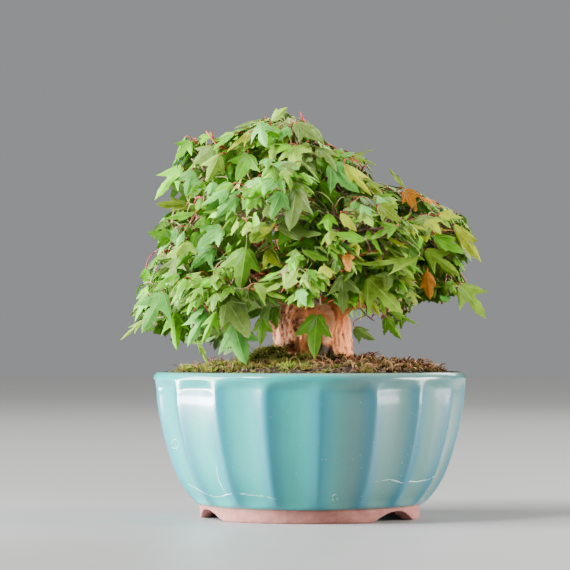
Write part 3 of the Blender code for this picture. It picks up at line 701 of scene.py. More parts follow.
def spun(profile, steps, closed):
    """A body turned about the Z axis from points of radius and height."""
    bm = bmesh.new()
    out = bearing(FIRST_RIDGE)
    ring = [bm.verts.new(out * radius + UP * height) for radius, height in profile]
    edges = [bm.edges.new(pair) for pair in zip(ring, ring[1:])]
    if closed:
        edges.append(bm.edges.new((ring[-1], ring[0])))
    bmesh.ops.spin(
        bm,
        geom=ring + edges,
        cent=(0, 0, 0),
        axis=UP,
        dvec=(0, 0, 0),
        angle=2 * math.pi,
        steps=steps,
        use_merge=True,
        use_duplicate=False,
    )
    bmesh.ops.remove_doubles(bm, verts=bm.verts, dist=0.01 * MM)
    bmesh.ops.recalc_face_normals(bm, faces=bm.faces)
    return bm


# The photograph's view


def camera_frame():
    """The camera's place from the pot's axis, its forward and upward directions, and its pitch."""
    aside = (PHOTO_SIZE / 2 - POT_COLUMN) * PIXEL
    place = Vector((aside, -CAMERA_PIXELS * PIXEL, (FLOOR_ROW - EYE_ROW) * PIXEL))
    pitch = math.atan((EYE_ROW - PHOTO_SIZE / 2) / CAMERA_PIXELS)
    forward = Vector((0, math.cos(pitch), math.sin(pitch)))
    upward = Vector((0, -math.sin(pitch), math.cos(pitch)))
    return place, forward, upward, pitch


EYE, FORWARD, UPWARD, PITCH = camera_frame()


def photo_ray(pixel):
    ray = FORWARD * CAMERA_PIXELS + UPWARD * (PHOTO_SIZE / 2 - pixel[1])
    ray.x += pixel[0] - PHOTO_SIZE / 2
    return ray


def photo_point(pixel, depth):
    """The point behind a pixel at this Y."""
    ray = photo_ray(pixel)
    return EYE + ray * ((depth - EYE.y) / ray.y)


def photo_pixel(point):
    off = point - EYE
    away = off.dot(FORWARD)
    column = PHOTO_SIZE / 2 + CAMERA_PIXELS * off.x / away
    return column, PHOTO_SIZE / 2 - CAMERA_PIXELS * off.dot(UPWARD) / away


def outline_mask(outline):
    """Which pixels of the photograph lie inside an outline."""
    rows, columns = np.mgrid[0:PHOTO_SIZE, 0:PHOTO_SIZE] + 0.5
    inside = np.zeros((PHOTO_SIZE, PHOTO_SIZE), bool)
    for (x0, y0), (x1, y1) in zip(outline, outline[1:] + outline[:1]):
        if y0 != y1:
            crosses = (rows < y0) != (rows < y1)
            inside ^= crosses & (columns < x0 + (rows - y0) * (x1 - x0) / (y1 - y0))
    return inside


# Pot


def wall_radius(height):
    """The bowl's outside radius over its ridges."""
    share = (height - GLAZE_START) / (POT_HEIGHT - GLAZE_START)
    first, second = WALL_ROUNDING
    swell = (1 - (1 - max(0.0, min(1.0, share))) ** first) ** second
    fuller = WALL_SWELL * smooth_step(GLAZE_START, WALL_SWELL_TOP, height)
    fuller -= (WALL_SWELL - LIP_SWELL) * smooth_step(*WALL_SWELL_FADE, height)
    return FOOT_RADIUS + (POT_RADIUS - FOOT_RADIUS) * swell + fuller


def flute_place(angle):
    """How far across its flute a bearing lies: -1 and 1 on the ridges, 0 midway."""
    turn = (angle - FIRST_RIDGE) * FLUTES / (2 * math.pi)
    return 2 * (turn - math.floor(turn)) - 1


def flute_fade(across, height):
    """How fully a flute is carved at this height: it ends in an arch under the rim."""
    top = FLUTE_TOP - FLUTE_TOP_ARCH * abs(across) ** 5
    return smooth_step(0, 1, (top - height) / FLUTE_TOP_FADE)


def flute_hollow(across):
    """The hollow's shape across a flute, with its ridges rounded off."""
    edge = 1 - RIDGE_ROUNDING
    u = abs(across)
    if u < edge:
        return 1 - u * u
    return (1 - edge * edge) - edge * RIDGE_ROUNDING + edge / RIDGE_ROUNDING * (1 - u) ** 2


def glaze_material(pot):
    """Glaze with painted shade by the ridges, painted sheen and shade on one side, a thin lip and pale
    pinholes.
    """
    material = surface("celadon_glaze", pot.glaze, pot.glaze_thin)
    tree = material.node_tree
    feed(tree.nodes["Principled BSDF"], {"Coat Roughness": 0.06})
    # Painted sheen and painted shade: greyer, darker glaze on the viewer's right
    painted_over(material, "painted_sheen_and_shade", pot.glaze_sheen_and_shade, 0.0, 1.3)
    # Painted shade: darker, bluer glaze on both flanks of each ridge
    painted_over(material, "ridge_shade", pot.glaze_ridge_shade, 0.0, 1.6)
    painted_over(material, "lip", pot.glaze_edge, 0.0, 2.0)
    pins = add_node(tree, "TexVoronoi", {"Vector": object_place(tree), "Scale": 210.0, "Randomness": 1.0})
    dots = add_node(tree, "MapRange", {
        "Value": pins.outputs["Distance"], "From Min": 0.05, "From Max": 0.11, "To Min": 0.55, "To Max": 0.0,
    })
    mix_over(material, dots.outputs["Result"], pot.glaze_edge)
    return material


def bowl_profile():
    """The bowl's section: from the drain hole out, up the wall, over the lip and down inside."""
    lip = POT_RADIUS + LIP_SWELL - LIP_ROUNDING
    mouth = POT_RADIUS - POT_WALL
    low = GLAZE_START + 0.2 * MM
    neck = FOOT_RADIUS - 1.2 * MM
    profile = [(DRAIN_RADIUS, POT_UNDER), (FOOT_RADIUS - FOOT_WALL, POT_UNDER), (neck, POT_UNDER)]
    profile += [(neck, GLAZE_START - 0.1 * MM), (FOOT_RADIUS + 0.1 * MM, GLAZE_START - 0.1 * MM)]
    profile += [(FOOT_RADIUS + 0.6 * MM, low)]
    rim = POT_HEIGHT - LIP_ROUNDING
    # Rows of faces up the wall, and close ones where the flutes end under the rim
    heights = [low + 0.4 * MM + (rim - 16 * MM - low) * (k / 22) ** 1.4 for k in range(23)]
    heights += [rim - (15 - k * 0.7) * MM for k in range(21)]
    profile += [(wall_radius(z), z) for z in heights]
    for k in range(9):
        turn = math.pi / 2 * k / 8
        profile.append((lip + LIP_ROUNDING * math.cos(turn), rim + LIP_ROUNDING * math.sin(turn)))
    profile += [(mouth + 1.1 * MM, POT_HEIGHT - 0.3 * MM), (mouth, POT_HEIGHT - 1.5 * MM)]
    profile += [(wall_radius(z * MM) - POT_WALL, z * MM) for z in INSIDE_HEIGHTS]
    return profile + [(POT_FLOOR_RADIUS, POT_FLOOR), (DRAIN_RADIUS, POT_FLOOR)]


def make_pot(pot):
    """The glazed bowl, spun plain, with its flutes then carved into the wall."""
    bm = spun(bowl_profile(), FLUTES * pot.flute_steps, True)
    lips, ridge_shades, painted_sheen_amounts = [], [], []
    for vert in bm.verts:
        radius = math.hypot(vert.co.x, vert.co.y)
        height = vert.co.z
        outside = radius > wall_radius(height) - 0.5 * MM and height > GLAZE_START + 0.3 * MM
        angle = math.atan2(vert.co.x, -vert.co.y)
        across = flute_place(angle)
        fade = flute_fade(across, height) if outside else 0.0
        foot = smooth_step(GLAZE_START, GLAZE_START + FLUTE_FOOT, height)
        depth = pot.flute_depth * (wall_radius(height) / POT_RADIUS) * flute_hollow(across) * fade * foot
        share = 1 - depth / max(radius, 1 * MM)
        vert.co.x *= share
        vert.co.y *= share
        on_lip = radius > POT_RADIUS - POT_WALL
        lips.append(smooth_step(POT_HEIGHT - 2.2 * MM, POT_HEIGHT, height) if on_lip else 0.0)
        # Painted shade beside the ridges: darker, bluer glaze on the flute's walls
        ridge_shades.append(smooth_step(0.3, 0.9, abs(across)) * fade)
        # Painted sheen and painted shade, by bearing: greyer, darker glaze to the viewer's right
        painted_sheen_amounts.append(smooth_step(*PAINTED_SHEEN_BEARINGS, angle) - smooth_step(*PAINTED_SHEEN_END_BEARINGS, angle))
    mesh = mesh_of(bm, "glazed_bowl")
    for name, values in (("lip", lips), ("ridge_shade", ridge_shades), ("painted_sheen_and_shade", painted_sheen_amounts)):
        paint(mesh, name, values)
    finished(mesh, "glazed_bowl", [glaze_material(pot)], ["pot"])


def arch_lift(angle):
    """How high the foot ring's underside is cut away at this bearing."""
    off = math.remainder(angle - FIRST_ARCH, 2 * math.pi / FEET)
    return ARCH_HEIGHT * (1 - smooth_step(0.1, 1.0, abs(off) / ARCH_HALF_ANGLE)) ** 0.7


def make_foot_ring(pot):
    """The unglazed foot ring, spun whole, with its underside then lifted into arches."""
    inner = FOOT_RADIUS - FOOT_WALL
    top = GLAZE_START + 0.15 * MM
    profile = [(inner + 0.4 * MM, 0.0), (inner + 3 * MM, 0.0), (FOOT_RADIUS - 1.0 * MM, 0.0)]
    profile += [(FOOT_RADIUS - 0.55 * MM, 0.3 * MM), (FOOT_RADIUS - 0.4 * MM, 1.2 * MM)]
    profile += [(FOOT_RADIUS - 0.2 * MM, z * MM) for z in (2.4, 3.6, 4.8)]
    profile += [(FOOT_RADIUS + 0.05 * MM, 6.2 * MM), (FOOT_RADIUS + 0.1 * MM, top)]
    profile += [(inner, top), (inner, 3.5 * MM), (inner + 0.1 * MM, 0.5 * MM)]
    bm = spun(profile, FOOT_RING_STEPS, True)
    for vert in bm.verts:
        lift = arch_lift(math.atan2(vert.co.x, -vert.co.y))
        if vert.co.z < top - 0.1 * MM:
            vert.co.z = lift + vert.co.z * (1 - lift / top)
        wear = noise.fractal(vert.co * 160, 0.7, 2.0, 3) * CLAY_WEAR * MM
        if vert.co.z > 0.05 * MM:
            out = Vector((vert.co.x, vert.co.y, 0)).normalized()
            vert.co += out * wear
    bmesh.ops.recalc_face_normals(bm, faces=bm.faces)
    clay = surface("foot_clay", pot.clay, pot.clay_dark)
    finished(mesh_of(bm, "foot_ring"), "foot_ring", [clay], ["foot_1", "foot_2", "foot_3"])


def wall_point(pixel, depth, stand_off):
    """The point on the wall behind a pixel, for flutes of this depth, and the direction out of the wall."""
    ray = photo_ray(pixel).normalized()
    reach = -EYE.y - POT_RADIUS * 1.2
    point = EYE + ray * reach
    for _ in range(400):
        radius = math.hypot(point.x, point.y)
        angle = math.atan2(point.x, -point.y)
        across = flute_place(angle)
        foot = smooth_step(GLAZE_START, GLAZE_START + FLUTE_FOOT, point.z)
        hollow = flute_hollow(across) * flute_fade(across, point.z) * foot
        wall = wall_radius(point.z)
        if radius <= wall - depth * (wall / POT_RADIUS) * hollow + stand_off:
            break
        point = point + ray * 0.25 * MM
    slope = (wall_radius(point.z + MM) - wall_radius(point.z - MM)) / (2 * MM)
    out = (Vector((point.x, point.y, 0)).normalized() - UP * slope).normalized()
    return point, out


def make_lime_marks(pot):
    """Thin white crusts of lime that dried on the glaze."""
    joined = Joined()
    chance = random.Random(5)
    lines = list(LIME_MARKS)
    for (x, y), size in LIME_RINGS:
        turns = [2 * math.pi * k / 10 for k in range(11)]
        lines.append([(x + size * 0.7 * math.cos(t), y + size * math.sin(t)) for t in turns])
    for line in lines:
        pixels = []
        for a, b in zip(line, line[1:]):
            for k in range(4):
                t = k / 4
                wobble = chance.uniform(-0.5, 0.5)
                pixels.append((a[0] + (b[0] - a[0]) * t + wobble, a[1] + (b[1] - a[1]) * t + wobble))
        pixels.append(line[-1])
        places = [wall_point(pixel, pot.flute_depth, 0.02 * MM) for pixel in pixels]
        corners, faces = [], []
        last = len(places) - 1
        for k, (point, out) in enumerate(places):
            way = (places[min(k + 1, last)][0] - places[max(k - 1, 0)][0]).normalized()
            side = way.cross(out).normalized() * pot.lime_width * chance.uniform(0.5, 1.1)
            side *= 0.4 + 0.6 * math.sin(math.pi * (k + 0.6) / (last + 1.2))
            corners += [point - side, point + out * LIME_THICKNESS * MM, point + side]
        for k in range(last):
            a, b = 3 * k, 3 * k + 3
            faces += [(a, b, b + 1, a + 1), (a + 1, b + 1, b + 2, a + 2), (a + 2, b + 2, b, a)]
        faces += [(0, 1, 2), (3 * last + 2, 3 * last + 1, 3 * last)]
        joined.add(corners, faces)
    crust = surface("lime_crust", pot.lime, shaded(pot.lime, 0.8))
    finished(joined.mesh("lime_marks"), "lime_marks", [crust])


# Soil and moss


def soil_height(radius):
    share = max(0.0, (radius - SOIL_PAD) / (POT_RADIUS - POT_WALL - SOIL_PAD))
    return SOIL_TOP - (SOIL_TOP - SOIL_EDGE) * min(1.0, share) ** 2


def ground_height(x, y):
    """The height of the soil or moss cushion at a place."""
    height = soil_height(math.hypot(x, y))
    for degrees, distance, radius, rise in CUSHIONS:
        middle = bearing(math.radians(degrees)) * distance * MM
        off = math.hypot(x - middle.x, y - middle.y) / (radius * MM)
        if off < 1:
            height = max(height, GROUND + rise * MM * math.sqrt(1 - off * off) * 0.9)
    return height


def ground_slope(x, y):
    """The direction that the ground faces at a place."""
    step = 0.6 * MM
    east = ground_height(x - step, y) - ground_height(x + step, y)
    north = ground_height(x, y - step) - ground_height(x, y + step)
    return Vector((east, north, 2 * step)).normalized()


def make_soil(ground):
    """The bed of soil, rough with grains, from the pot's floor to the trunk's foot."""
    profile = [(0.0, POT_FLOOR + 0.3 * MM), (POT_FLOOR_RADIUS - 1 * MM, POT_FLOOR + 0.3 * MM)]
    profile += [(wall_radius(z * MM) - POT_WALL - 0.45 * MM, z * MM) for z in (24, 48, 74)]
    edge = POT_RADIUS - POT_WALL - 0.9 * MM
    radii = [edge * (1 - (k / 44)) for k in range(44)]
    profile += [(r, soil_height(r)) for r in radii] + [(0.0, SOIL_TOP)]
    bm = spun(profile, 180, False)
    for vert in bm.verts:
        if vert.co.z > SOIL_ROUGH_FROM:
            rough = noise.fractal(vert.co * 420, 0.8, 2.1, 4) * 0.75
            rough += noise.fractal(vert.co * 90, 1, 2, 2) * 0.6
            vert.co.z += (rough - 0.3) * MM
    soil = surface("damp_soil", ground.soil, ground.soil_dry)
    finished(mesh_of(bm, "soil_bed"), "soil_bed", [soil], ["soil"])


def pebble_shape():
    bm = bmesh.new()
    bmesh.ops.create_icosphere(bm, subdivisions=1, radius=1.0)
    points = np.array([vert.co for vert in bm.verts])
    faces = [tuple(vert.index for vert in face.verts) for face in bm.faces]
    bm.free()
    return points, faces


def make_grains(ground):
    """Grains of baked clay on the soil, most of them near the rim."""
    chance = random.Random(ground.seed)
    points, faces = pebble_shape()
    joined = Joined()
    for _ in range(ground.grains):
        radius = GRAINS_EDGE * math.sqrt(chance.uniform(0.25, 1.0))
        place = bearing(chance.uniform(0, 2 * math.pi)) * radius
        size = chance.uniform(0.5, 1.5) * MM
        turn = np.array(Quaternion(chance_way(chance), chance.uniform(0, 6)).to_matrix())
        jitter = np.array([[chance.uniform(0.75, 1.1) for _ in range(3)] for _ in points])
        height = soil_height(radius) + size * chance.uniform(-0.3, 0.3)
        joined.add((points * jitter) @ turn.T * size + np.array((place.x, place.y, height)), faces,
                   [chance.choice((0, 0, 1, 2))] * len(faces))
    grains = [surface(f"grain_{k}", tone, shaded(tone, 0.6), "grain") for k, tone in enumerate(GRAIN_TONES)]
    finished(joined.mesh("soil_grains"), "soil_grains", grains, smooth=False)


def make_cushions(ground):
    """Lumps under the thickest moss, each as its solid is."""
    joined = Joined()
    for degrees, distance, radius, rise in CUSHIONS:
        bm = bmesh.new()
        bmesh.ops.create_uvsphere(bm, u_segments=40, v_segments=24, radius=1)
        for vert in bm.verts:
            if vert.co.z < -0.01:
                vert.co.z *= CUSHION_UNDERSIDE
        bmesh.ops.scale(bm, verts=bm.verts, vec=Vector((radius, radius, rise)) * CUSHION_SHARE * MM)
        middle = bearing(math.radians(degrees)) * distance * MM + UP * GROUND
        bmesh.ops.translate(bm, verts=bm.verts, vec=middle)
        for vert in bm.verts:
            if vert.co.z > GROUND:
                out = (vert.co - middle).normalized()
                vert.co += out * noise.fractal(vert.co * 300, 0.8, 2, 3) * 0.7 * MM
        points = [vert.co.copy() for vert in bm.verts]
        faces = [tuple(vert.index for vert in face.verts) for face in bm.faces]
        bm.free()
        joined.add(points, faces)
    mound = surface("moss_mound", ground.moss_shade, ground.moss_dry)
    names = [f"moss_cushion_{k + 1}" for k in range(len(CUSHIONS))]
    finished(joined.mesh("moss_mounds"), "moss_mounds", [mound], names)


def chance_way(chance):
    """A direction with no bias."""
    height = chance.uniform(-1, 1)
    turn = chance.uniform(0, 2 * math.pi)
    flat = math.sqrt(1 - height * height)
    return Vector((flat * math.cos(turn), flat * math.sin(turn), height))


def needle_shape(root, tip, width):
    """A slim three-sided spike."""
    way = tip - root
    side = way.orthogonal().normalized() * width
    other = way.normalized().cross(side)
    corners = [root + side, root - side * 0.5 + other * 0.87, root - side * 0.5 - other * 0.87, tip]
    return corners, [(0, 1, 3), (1, 2, 3), (2, 0, 3), (0, 2, 1)]


def off_hollow(x, y):
    """How far to the right of the dark hollow before the trunk a place lies, and how far behind it."""
    degrees, distance, _ = FOOT_HOLLOW
    middle = bearing(math.radians(degrees)) * distance
    return x - middle.x, y - middle.y


def moss_places(ground, chance):
    """Where tufts of moss stand: a place, the way they grow and how tall the moss is there."""
    places = []
    trunk, _ = trunk_point(0)
    hollow = FOOT_HOLLOW[2]
    while len(places) < ground.tufts:
        if len(places) % TRUNK_TUFT == 0:
            angle = chance.uniform(0, 2 * math.pi)
            height = MOSS_CLIMB * chance.random() ** 2
            out = bearing(angle)
            point = trunk_point(height)[0] + out * (trunk_reach(angle, height) + 0.2 * MM)
            places.append((point, (out + UP * 0.8).normalized(), LOW_MOSS))
            continue
        radius = MOSS_EDGE * math.sqrt(chance.uniform(0.06, 1.0))
        out = bearing(chance.uniform(0, 2 * math.pi))
        x, y = out.x * radius, out.y * radius
        off = Vector((x, y, 0)) - Vector((trunk.x, trunk.y, 0))
        inside = off.length < trunk_reach(math.atan2(off.x, -off.y), 0) + 0.3 * MM
        level = ground_height(x, y)
        mound = smooth_step(1, 6, (level - GROUND) / MM)
        clump = noise.noise(Vector((x, y, 0)) * 115) + 0.6 * noise.noise(Vector((x, y, 9)) * 300)
        edge = smooth_step(MOSS_EDGE, MOSS_EDGE * 0.86, radius)
        right, behind = off_hollow(x, y)
        least = MOSS_LEAST + MOSS_LEAST_RIGHT * smooth_step(0, 50 * MM, x) - MOSS_LEAST_RAISED * mound
        bare = clump < least or math.hypot(right, behind * 0.5) < hollow
        if inside or bare or chance.random() > 0.35 + 0.65 * edge:
            continue
        tall = 0.1 + 1.7 * clump + 0.2 * edge + 0.5 * mound
        if abs(right) < hollow and behind < 0:
            tall = min(tall, LOW_MOSS)
        tall = max(0.3 + 0.5 * mound, tall)
        places.append((Vector((x, y, level - 0.2 * MM)), ground_slope(x, y), tall))
    return places


def make_moss(ground):
    """Tufts of moss over the soil and up the trunk's foot, and the stalks that stand out of them."""
    chance = random.Random(ground.seed + 1)
    joined = {name: Joined() for name in ("bright", "deep", "dry")}
    for place, way, tall in moss_places(ground, chance):
        patch = noise.noise(place * 90) + noise.noise(place * 260) * 0.6
        brown = smooth_step(-10 * MM, 60 * MM, place.x)
        # Cushions mostly get the bright moss, partly as painted light on the raised moss
        raised = 5 * smooth_step(GROUND + MM, GROUND + 4 * MM, place.z)
        # How likely bright, deep and dry moss are here
        weights = (3 + 4 * patch - 2 * brown + raised, 3 - brown, 1.8 - 4 * patch + 4 * brown)
        kind = chance.choices(("bright", "deep", "dry"), [max(0.2, w) for w in weights])[0]
        for _ in range(ground.shoots_in_a_tuft):
            lean = (way + chance_way(chance) * 0.9).normalized()
            root = place + Vector((chance.uniform(-0.9, 0.9), chance.uniform(-0.9, 0.9), 0)) * MM
            tip = root + lean * ground.moss_height * tall * chance.uniform(0.5, 1.4)
            joined[kind].add(*needle_shape(root, tip, SHOOT_RADIUS * chance.uniform(0.7, 1.3)))
    colours = {"bright": ground.moss_bright, "deep": ground.moss_shade, "dry": ground.moss_dry}
    for name, shoots in joined.items():
        mesh = shoots.mesh(f"moss_{name}")
        # Each shoot runs from near black at its root to its own colour at its tip: painted shade deep in the
        # moss
        paint(mesh, "tip", [0, 0, 0, 1] * (len(mesh.vertices) // 4))
        dark = shaded(colours[name], 0.12)
        finish = surface(mesh.name, dark, shaded(dark, 0.5), "moss_shoot")
        painted_over(finish, "tip", colours[name], 0.2, 0.95)
        finished(mesh, mesh.name, [finish], smooth=False)
    make_moss_stalks(ground, chance)


def make_moss_stalks(ground, chance):
    """Stalks and dry curls that stand out of the moss, most of them on the right."""
    stalks = Joined()
    for _ in range(ground.stalks):
        angle = math.radians(chance.choice((chance.gauss(60, 32), chance.uniform(-180, 180))))
        root = bearing(angle) * chance.uniform(32, 76) * MM
        root.z = ground_height(root.x, root.y) + 0.4 * MM
        way = (UP * chance.uniform(0.2, 1.0) + chance_way(chance) * 0.8).normalized()
        way.z = abs(way.z) + 0.15
        length = chance.uniform(2.5, 6.5) * MM
        bend = root + way * length * 0.9
        level = chance_way(chance) * length * 0.7
        tip = bend + Vector((level.x, level.y, -abs(level.z) * 0.6))
        tip.z = max(tip.z, root.z + 0.3 * MM)
        slot = chance.choice((0, 1, 2))
        thick = chance.uniform(0.7, 2.4) if angle > 0 else chance.uniform(0.6, 1.3)
        radii = [r * thick * MM for r in MOSS_STALK_RADII]
        corners, faces = tube_shape(curve_points(root, bend, tip, 4), radii, 4)
        stalks.add(corners, faces, [slot] * len(faces))
    tones = {"red_brown": ground.stalk, "straw": ground.straw, "tan": ground.moss_dry}
    dyed = [surface(f"stalk_{name}", tone, shaded(tone, 0.5), "moss_stalk") for name, tone in tones.items()]
    finished(stalks.mesh("moss_stalks"), "moss_stalks", dyed)


# Trunk and boughs


def between(rows, height):
    """The row of numbers at this height, on a smooth curve through the rows."""
    last = len(rows) - 1
    k = next((i for i in range(last) if height <= rows[i + 1][0]), last - 1)
    a, b = rows[k], rows[k + 1]
    before, after = rows[max(k - 1, 0)], rows[min(k + 2, last)]
    t = (height - a[0]) / (b[0] - a[0])
    curve = []
    for p, q, r, s in zip(before, a, b, after):
        bend = (2 * p - 5 * q + 4 * r - s) * t**2 + (3 * q - p - 3 * r + s) * t**3
        curve.append(0.5 * (2 * q + (r - p) * t + bend))
    return curve


def trunk_point(height):
    """The trunk's middle and its radius at this many millimetres above the soil."""
    _, x, y, radius = between(TRUNK_LINE, height)
    return Vector((x * MM, y * MM, GROUND + height * MM)), radius * MM


def trunk_reach(angle, height):
    """How far the trunk reaches from its middle at this bearing and height."""
    _, radius = trunk_point(max(0.0, height))
    ribs = sum(depth * math.cos(n * angle + turn) for n, depth, turn in TRUNK_RIBS)
    fade = math.exp(-((max(0.0, height) / ROOT_FLARE_HEIGHT) ** 2))
    flare = 0.0
    for degrees, spread in ROOT_FLARES:
        off = math.remainder(angle - math.radians(degrees), 2 * math.pi)
        flare += spread * math.exp(-((off / ROOT_FLARE_WIDTH) ** 2))
    return radius * (1 + ribs) + flare * fade * MM


def trunk_side(degrees, height):
    """The point on the trunk's side at this bearing, in degrees, and height."""
    angle = math.radians(degrees)
    return trunk_point(height)[0] + bearing(angle) * trunk_reach(angle, height)


def extruded(rings):
    """A closed body: the first ring's face, extruded from ring to ring."""
    bm = bmesh.new()
    face = bm.faces.new([bm.verts.new(place) for place in rings[0]])
    inner = []
    for ring in rings[1:]:
        made = bmesh.ops.extrude_face_region(bm, geom=[face])["geom"]
        face = next(item for item in made if isinstance(item, bmesh.types.BMFace))
        inner.append(face)
        for vert, place in zip(face.verts, ring):
            vert.co = place
    bmesh.ops.delete(bm, geom=inner[:-1], context="FACES_ONLY")
    bmesh.ops.recalc_face_normals(bm, faces=bm.faces)
    return bm


def trunk_body(sides, step, margin=0.0):
    """The trunk as a closed body, with a ring of points every so many millimetres."""
    rings = []
    heights = [-1.5] + [k * step for k in range(int(TRUNK_LINE[-1][0] / step) + 1)]
    for height in heights:
        middle, _ = trunk_point(max(0.0, height))
        middle.z = GROUND + height * MM
        turns = [2 * math.pi * k / sides for k in range(sides)]
        rings.append([middle + bearing(turn) * (trunk_reach(turn, height) + margin) for turn in turns])
    return extruded(rings)


def limb_body(points, radii, sides):
    corners, faces = tube_shape(points, radii, sides)
    bm = bmesh.new()
    verts = [bm.verts.new(corner) for corner in corners]
    for face in faces:
        bm.faces.new([verts[k] for k in face])
    bmesh.ops.recalc_face_normals(bm, faces=bm.faces)
    return bm


def reach_along(size, way):
    """How far a mass of these half sizes, in millimetres, reaches along a direction."""
    unit = way.normalized()
    return MM / math.sqrt(sum((a / b) ** 2 for a, b in zip(unit, size)))


class Bough:
    """A bough's line, from inside the trunk through its collar to its tip in a mass of foliage."""

    def __init__(self, name):
        heart, size, (height, radius), _ = MASSES[name]
        self.root, reach = trunk_point(height)
        self.radius = radius * MM
        towards = Vector(heart) * MM - self.root
        level = Vector((towards.x, towards.y, 0)).normalized()
        self.out = (level + UP * BOUGH_RISE).normalized()
        start = self.root + self.out * (reach + COLLAR_LENGTH)
        tip = Vector(heart) * MM - towards.normalized() * reach_along(size, towards) * BOUGH_ENTRY
        middle = start + self.out * (tip - start).length * BOUGH_BEND
        self.points = curve_points(start, middle, tip, 12)
        self.way = (self.points[-1] - self.points[-2]).normalized()

    def body(self, margin=0.0):
        """The whole limb with its collar, kinked a little at its nodes."""
        points = [self.root] + self.points
        wide = self.radius * COLLAR_SPREAD
        radii = [wide + margin] + tapered(self.radius + margin, BOUGH_TIP_RADIUS + margin, 12)
        return limb_body(points, radii, 14)


def all_boughs():
    return {name: Bough(name) for name, mass in MASSES.items() if mass[2]}


def bark_relief(point, bold, flaky):
    """The bark's height in millimetres, how deep in a crevice a point lies, from 0 to 1, and how it swells.

    Muscles of wood run up the trunk, and over them the bark peels in upright strips, each with a sharp edge.
    """
    place = Vector((point.x, point.y, point.z * BARK_UPRIGHT))
    warp = noise.noise_vector(place * WARP_WAVES) * BARK_WARP * MM
    muscles = noise.fractal((place + warp) * MUSCLE_WAVES, 0.9, 2.0, 3)
    strips = STRIP_STEPS * noise.fractal((place + warp) * STRIP_WAVES, 0.8, 2.1, 4)
    shelf = smooth_step(0.0, 0.25, strips - math.floor(strips))
    flakes = noise.fractal((point + warp) * FLAKE_WAVES, 0.7, 2.0, 3)
    height = bold * (2.1 * muscles + 0.36 * (math.floor(strips) + shelf) + 0.8 * flaky * flakes)
    height += 0.1 * flakes
    crevice = (0.2 + 0.3 * flaky) * (1 - shelf) + (0.1 + 0.9 * flaky) * max(0.0, -1.8 * muscles - 0.1)
    crevice -= 1.8 * flaky * flakes + 0.05
    return height, min(1.0, max(0.0, crevice)), muscles + 1.3 * flaky * (flakes - muscles)


def knot_bulge(point):
    """How many millimetres the trunk's knots and hollows push the bark out at a point."""
    bulge = 0.0
    for degrees, height, width, rise in KNOTS:
        off = (point - trunk_side(degrees, height)).length / (width * MM)
        if off < 2.5:
            bulge += rise * math.exp(-off * off * 1.6)
    return bulge


def bark_material(wood):
    material = surface("flaking_bark", wood.bark, shaded(wood.bark, 0.6))
    painted_over(material, "fresh", wood.bark_fresh, 0.0, 1.0)
    # Pale bark on the bleached root, and on the ridges partly bleaching and partly painted sheen
    painted_over(material, "weathered", wood.root_pale, 0.1, 1.0)
    # Painted shade: darker bark in the crevices between the strips
    painted_over(material, "crevice", wood.crevice, 0.15, 0.8)
    # Painted shade in the hollow at the trunk's foot, and bark darker towards the soil
    painted_over(material, "hollow_shade_and_dark_foot", wood.hollow_shade_and_dark_foot, 0.1, 1.0)
    return material


def one_skin(bodies, step):
    """One mesh over all these bodies, whose joints flow into each other."""
    joined = bmesh.new()
    for body in bodies:
        mesh = mesh_of(body, "limb")
        joined.from_mesh(mesh)
        bpy.data.meshes.remove(mesh)
    rough = bpy.data.objects.new("bark_rough", mesh_of(joined, "bark"))
    bpy.context.scene.collection.objects.link(rough)
    remesh = rough.modifiers.new("Skin", "REMESH")
    remesh.mode = "VOXEL"
    remesh.voxel_size = step
    graph = bpy.context.evaluated_depsgraph_get()
    skin = bpy.data.meshes.new_from_object(rough.evaluated_get(graph))
    bpy.data.objects.remove(rough)
    return skin


def make_bark(wood):
    """One skin with the bark's relief over the trunk and all its boughs."""
    boughs = all_boughs()
    bodies = [trunk_body(sides=64, step=2.0)] + [bough.body() for bough in boughs.values()]
    skin = one_skin(bodies, wood.skin_step)
    crevices, hollow_shade_and_dark_foot, weathered, fresh = [], [], [], []
    hollow = trunk_side(*HOLLOW_SHADE[:2])
    pale_bearing, pale_spread = PALE_ROOT
    trunk_top = TRUNK_LINE[-1][0]
    normals = [vert.normal.copy() for vert in skin.vertices]
    for vert, out in zip(skin.vertices, normals):
        point = vert.co
        height = (point.z - GROUND) / MM
        middle, radius = trunk_point(max(0.0, min(trunk_top, height)))
        off = point - middle
        reach = math.hypot(off.x, off.y)
        bold = 1 - 0.75 * smooth_step(radius * 1.1, radius * 1.6 + 3 * MM, reach)
        bold *= smooth_step(-2.0, 2.0, height) * (1 - 0.55 * smooth_step(45, 90, height))
        turn = math.atan2(off.x, -off.y)
        streak = noise.noise(Vector((point.x, point.y, point.z * 0.3)) * 190)
        bare = smooth_step(-0.25, 0.35, 0.5 * math.cos(turn - FRESH_BARK) + streak)
        rise, crevice, ridge = bark_relief(point, bold, 1 - 0.8 * bare)
        if bold > 0.5:
            rise += knot_bulge(point)
        away = math.degrees(abs(math.remainder(turn - math.radians(pale_bearing), 2 * math.pi)))
        root = (1 - away / pale_spread) + 1.2 * noise.noise(point * 160) - abs(height - 6) / 10
        fresh.append(bare)
        # Pale ridges here are partly bleached bark and partly painted sheen
        weathered.append(min(1.0, max(0.0, root, 0.6 * smooth_step(0.2, 0.7, ridge + 0.7 * streak))))
        vert.co = point + out * rise * wood.relief
        # How deep in a crevice the point lies, which paints shade there
        crevices.append(crevice)
        # Painted shade round the hollow, and darker bark over the lowest millimetres above the soil
        off_dark = (point - hollow).length / HOLLOW_SHADE[2] + 0.4 * noise.noise(point * 200)
        dry = smooth_step(0.0, 7.0, height + 3.0 * noise.noise(point * 130))
        hollow_shade_and_dark_foot.append(max(1 - smooth_step(0.5, 1.1, off_dark), 1 - dry))
    layers = {"crevice": crevices, "hollow_shade_and_dark_foot": hollow_shade_and_dark_foot, "weathered": weathered, "fresh": fresh}
    for name, values in layers.items():
        paint(skin, name, values)
    names = ["trunk"] + [f"bough_{name}" for name in boughs]
    finished(skin, "bark", [bark_material(wood)], names)


# Leaves


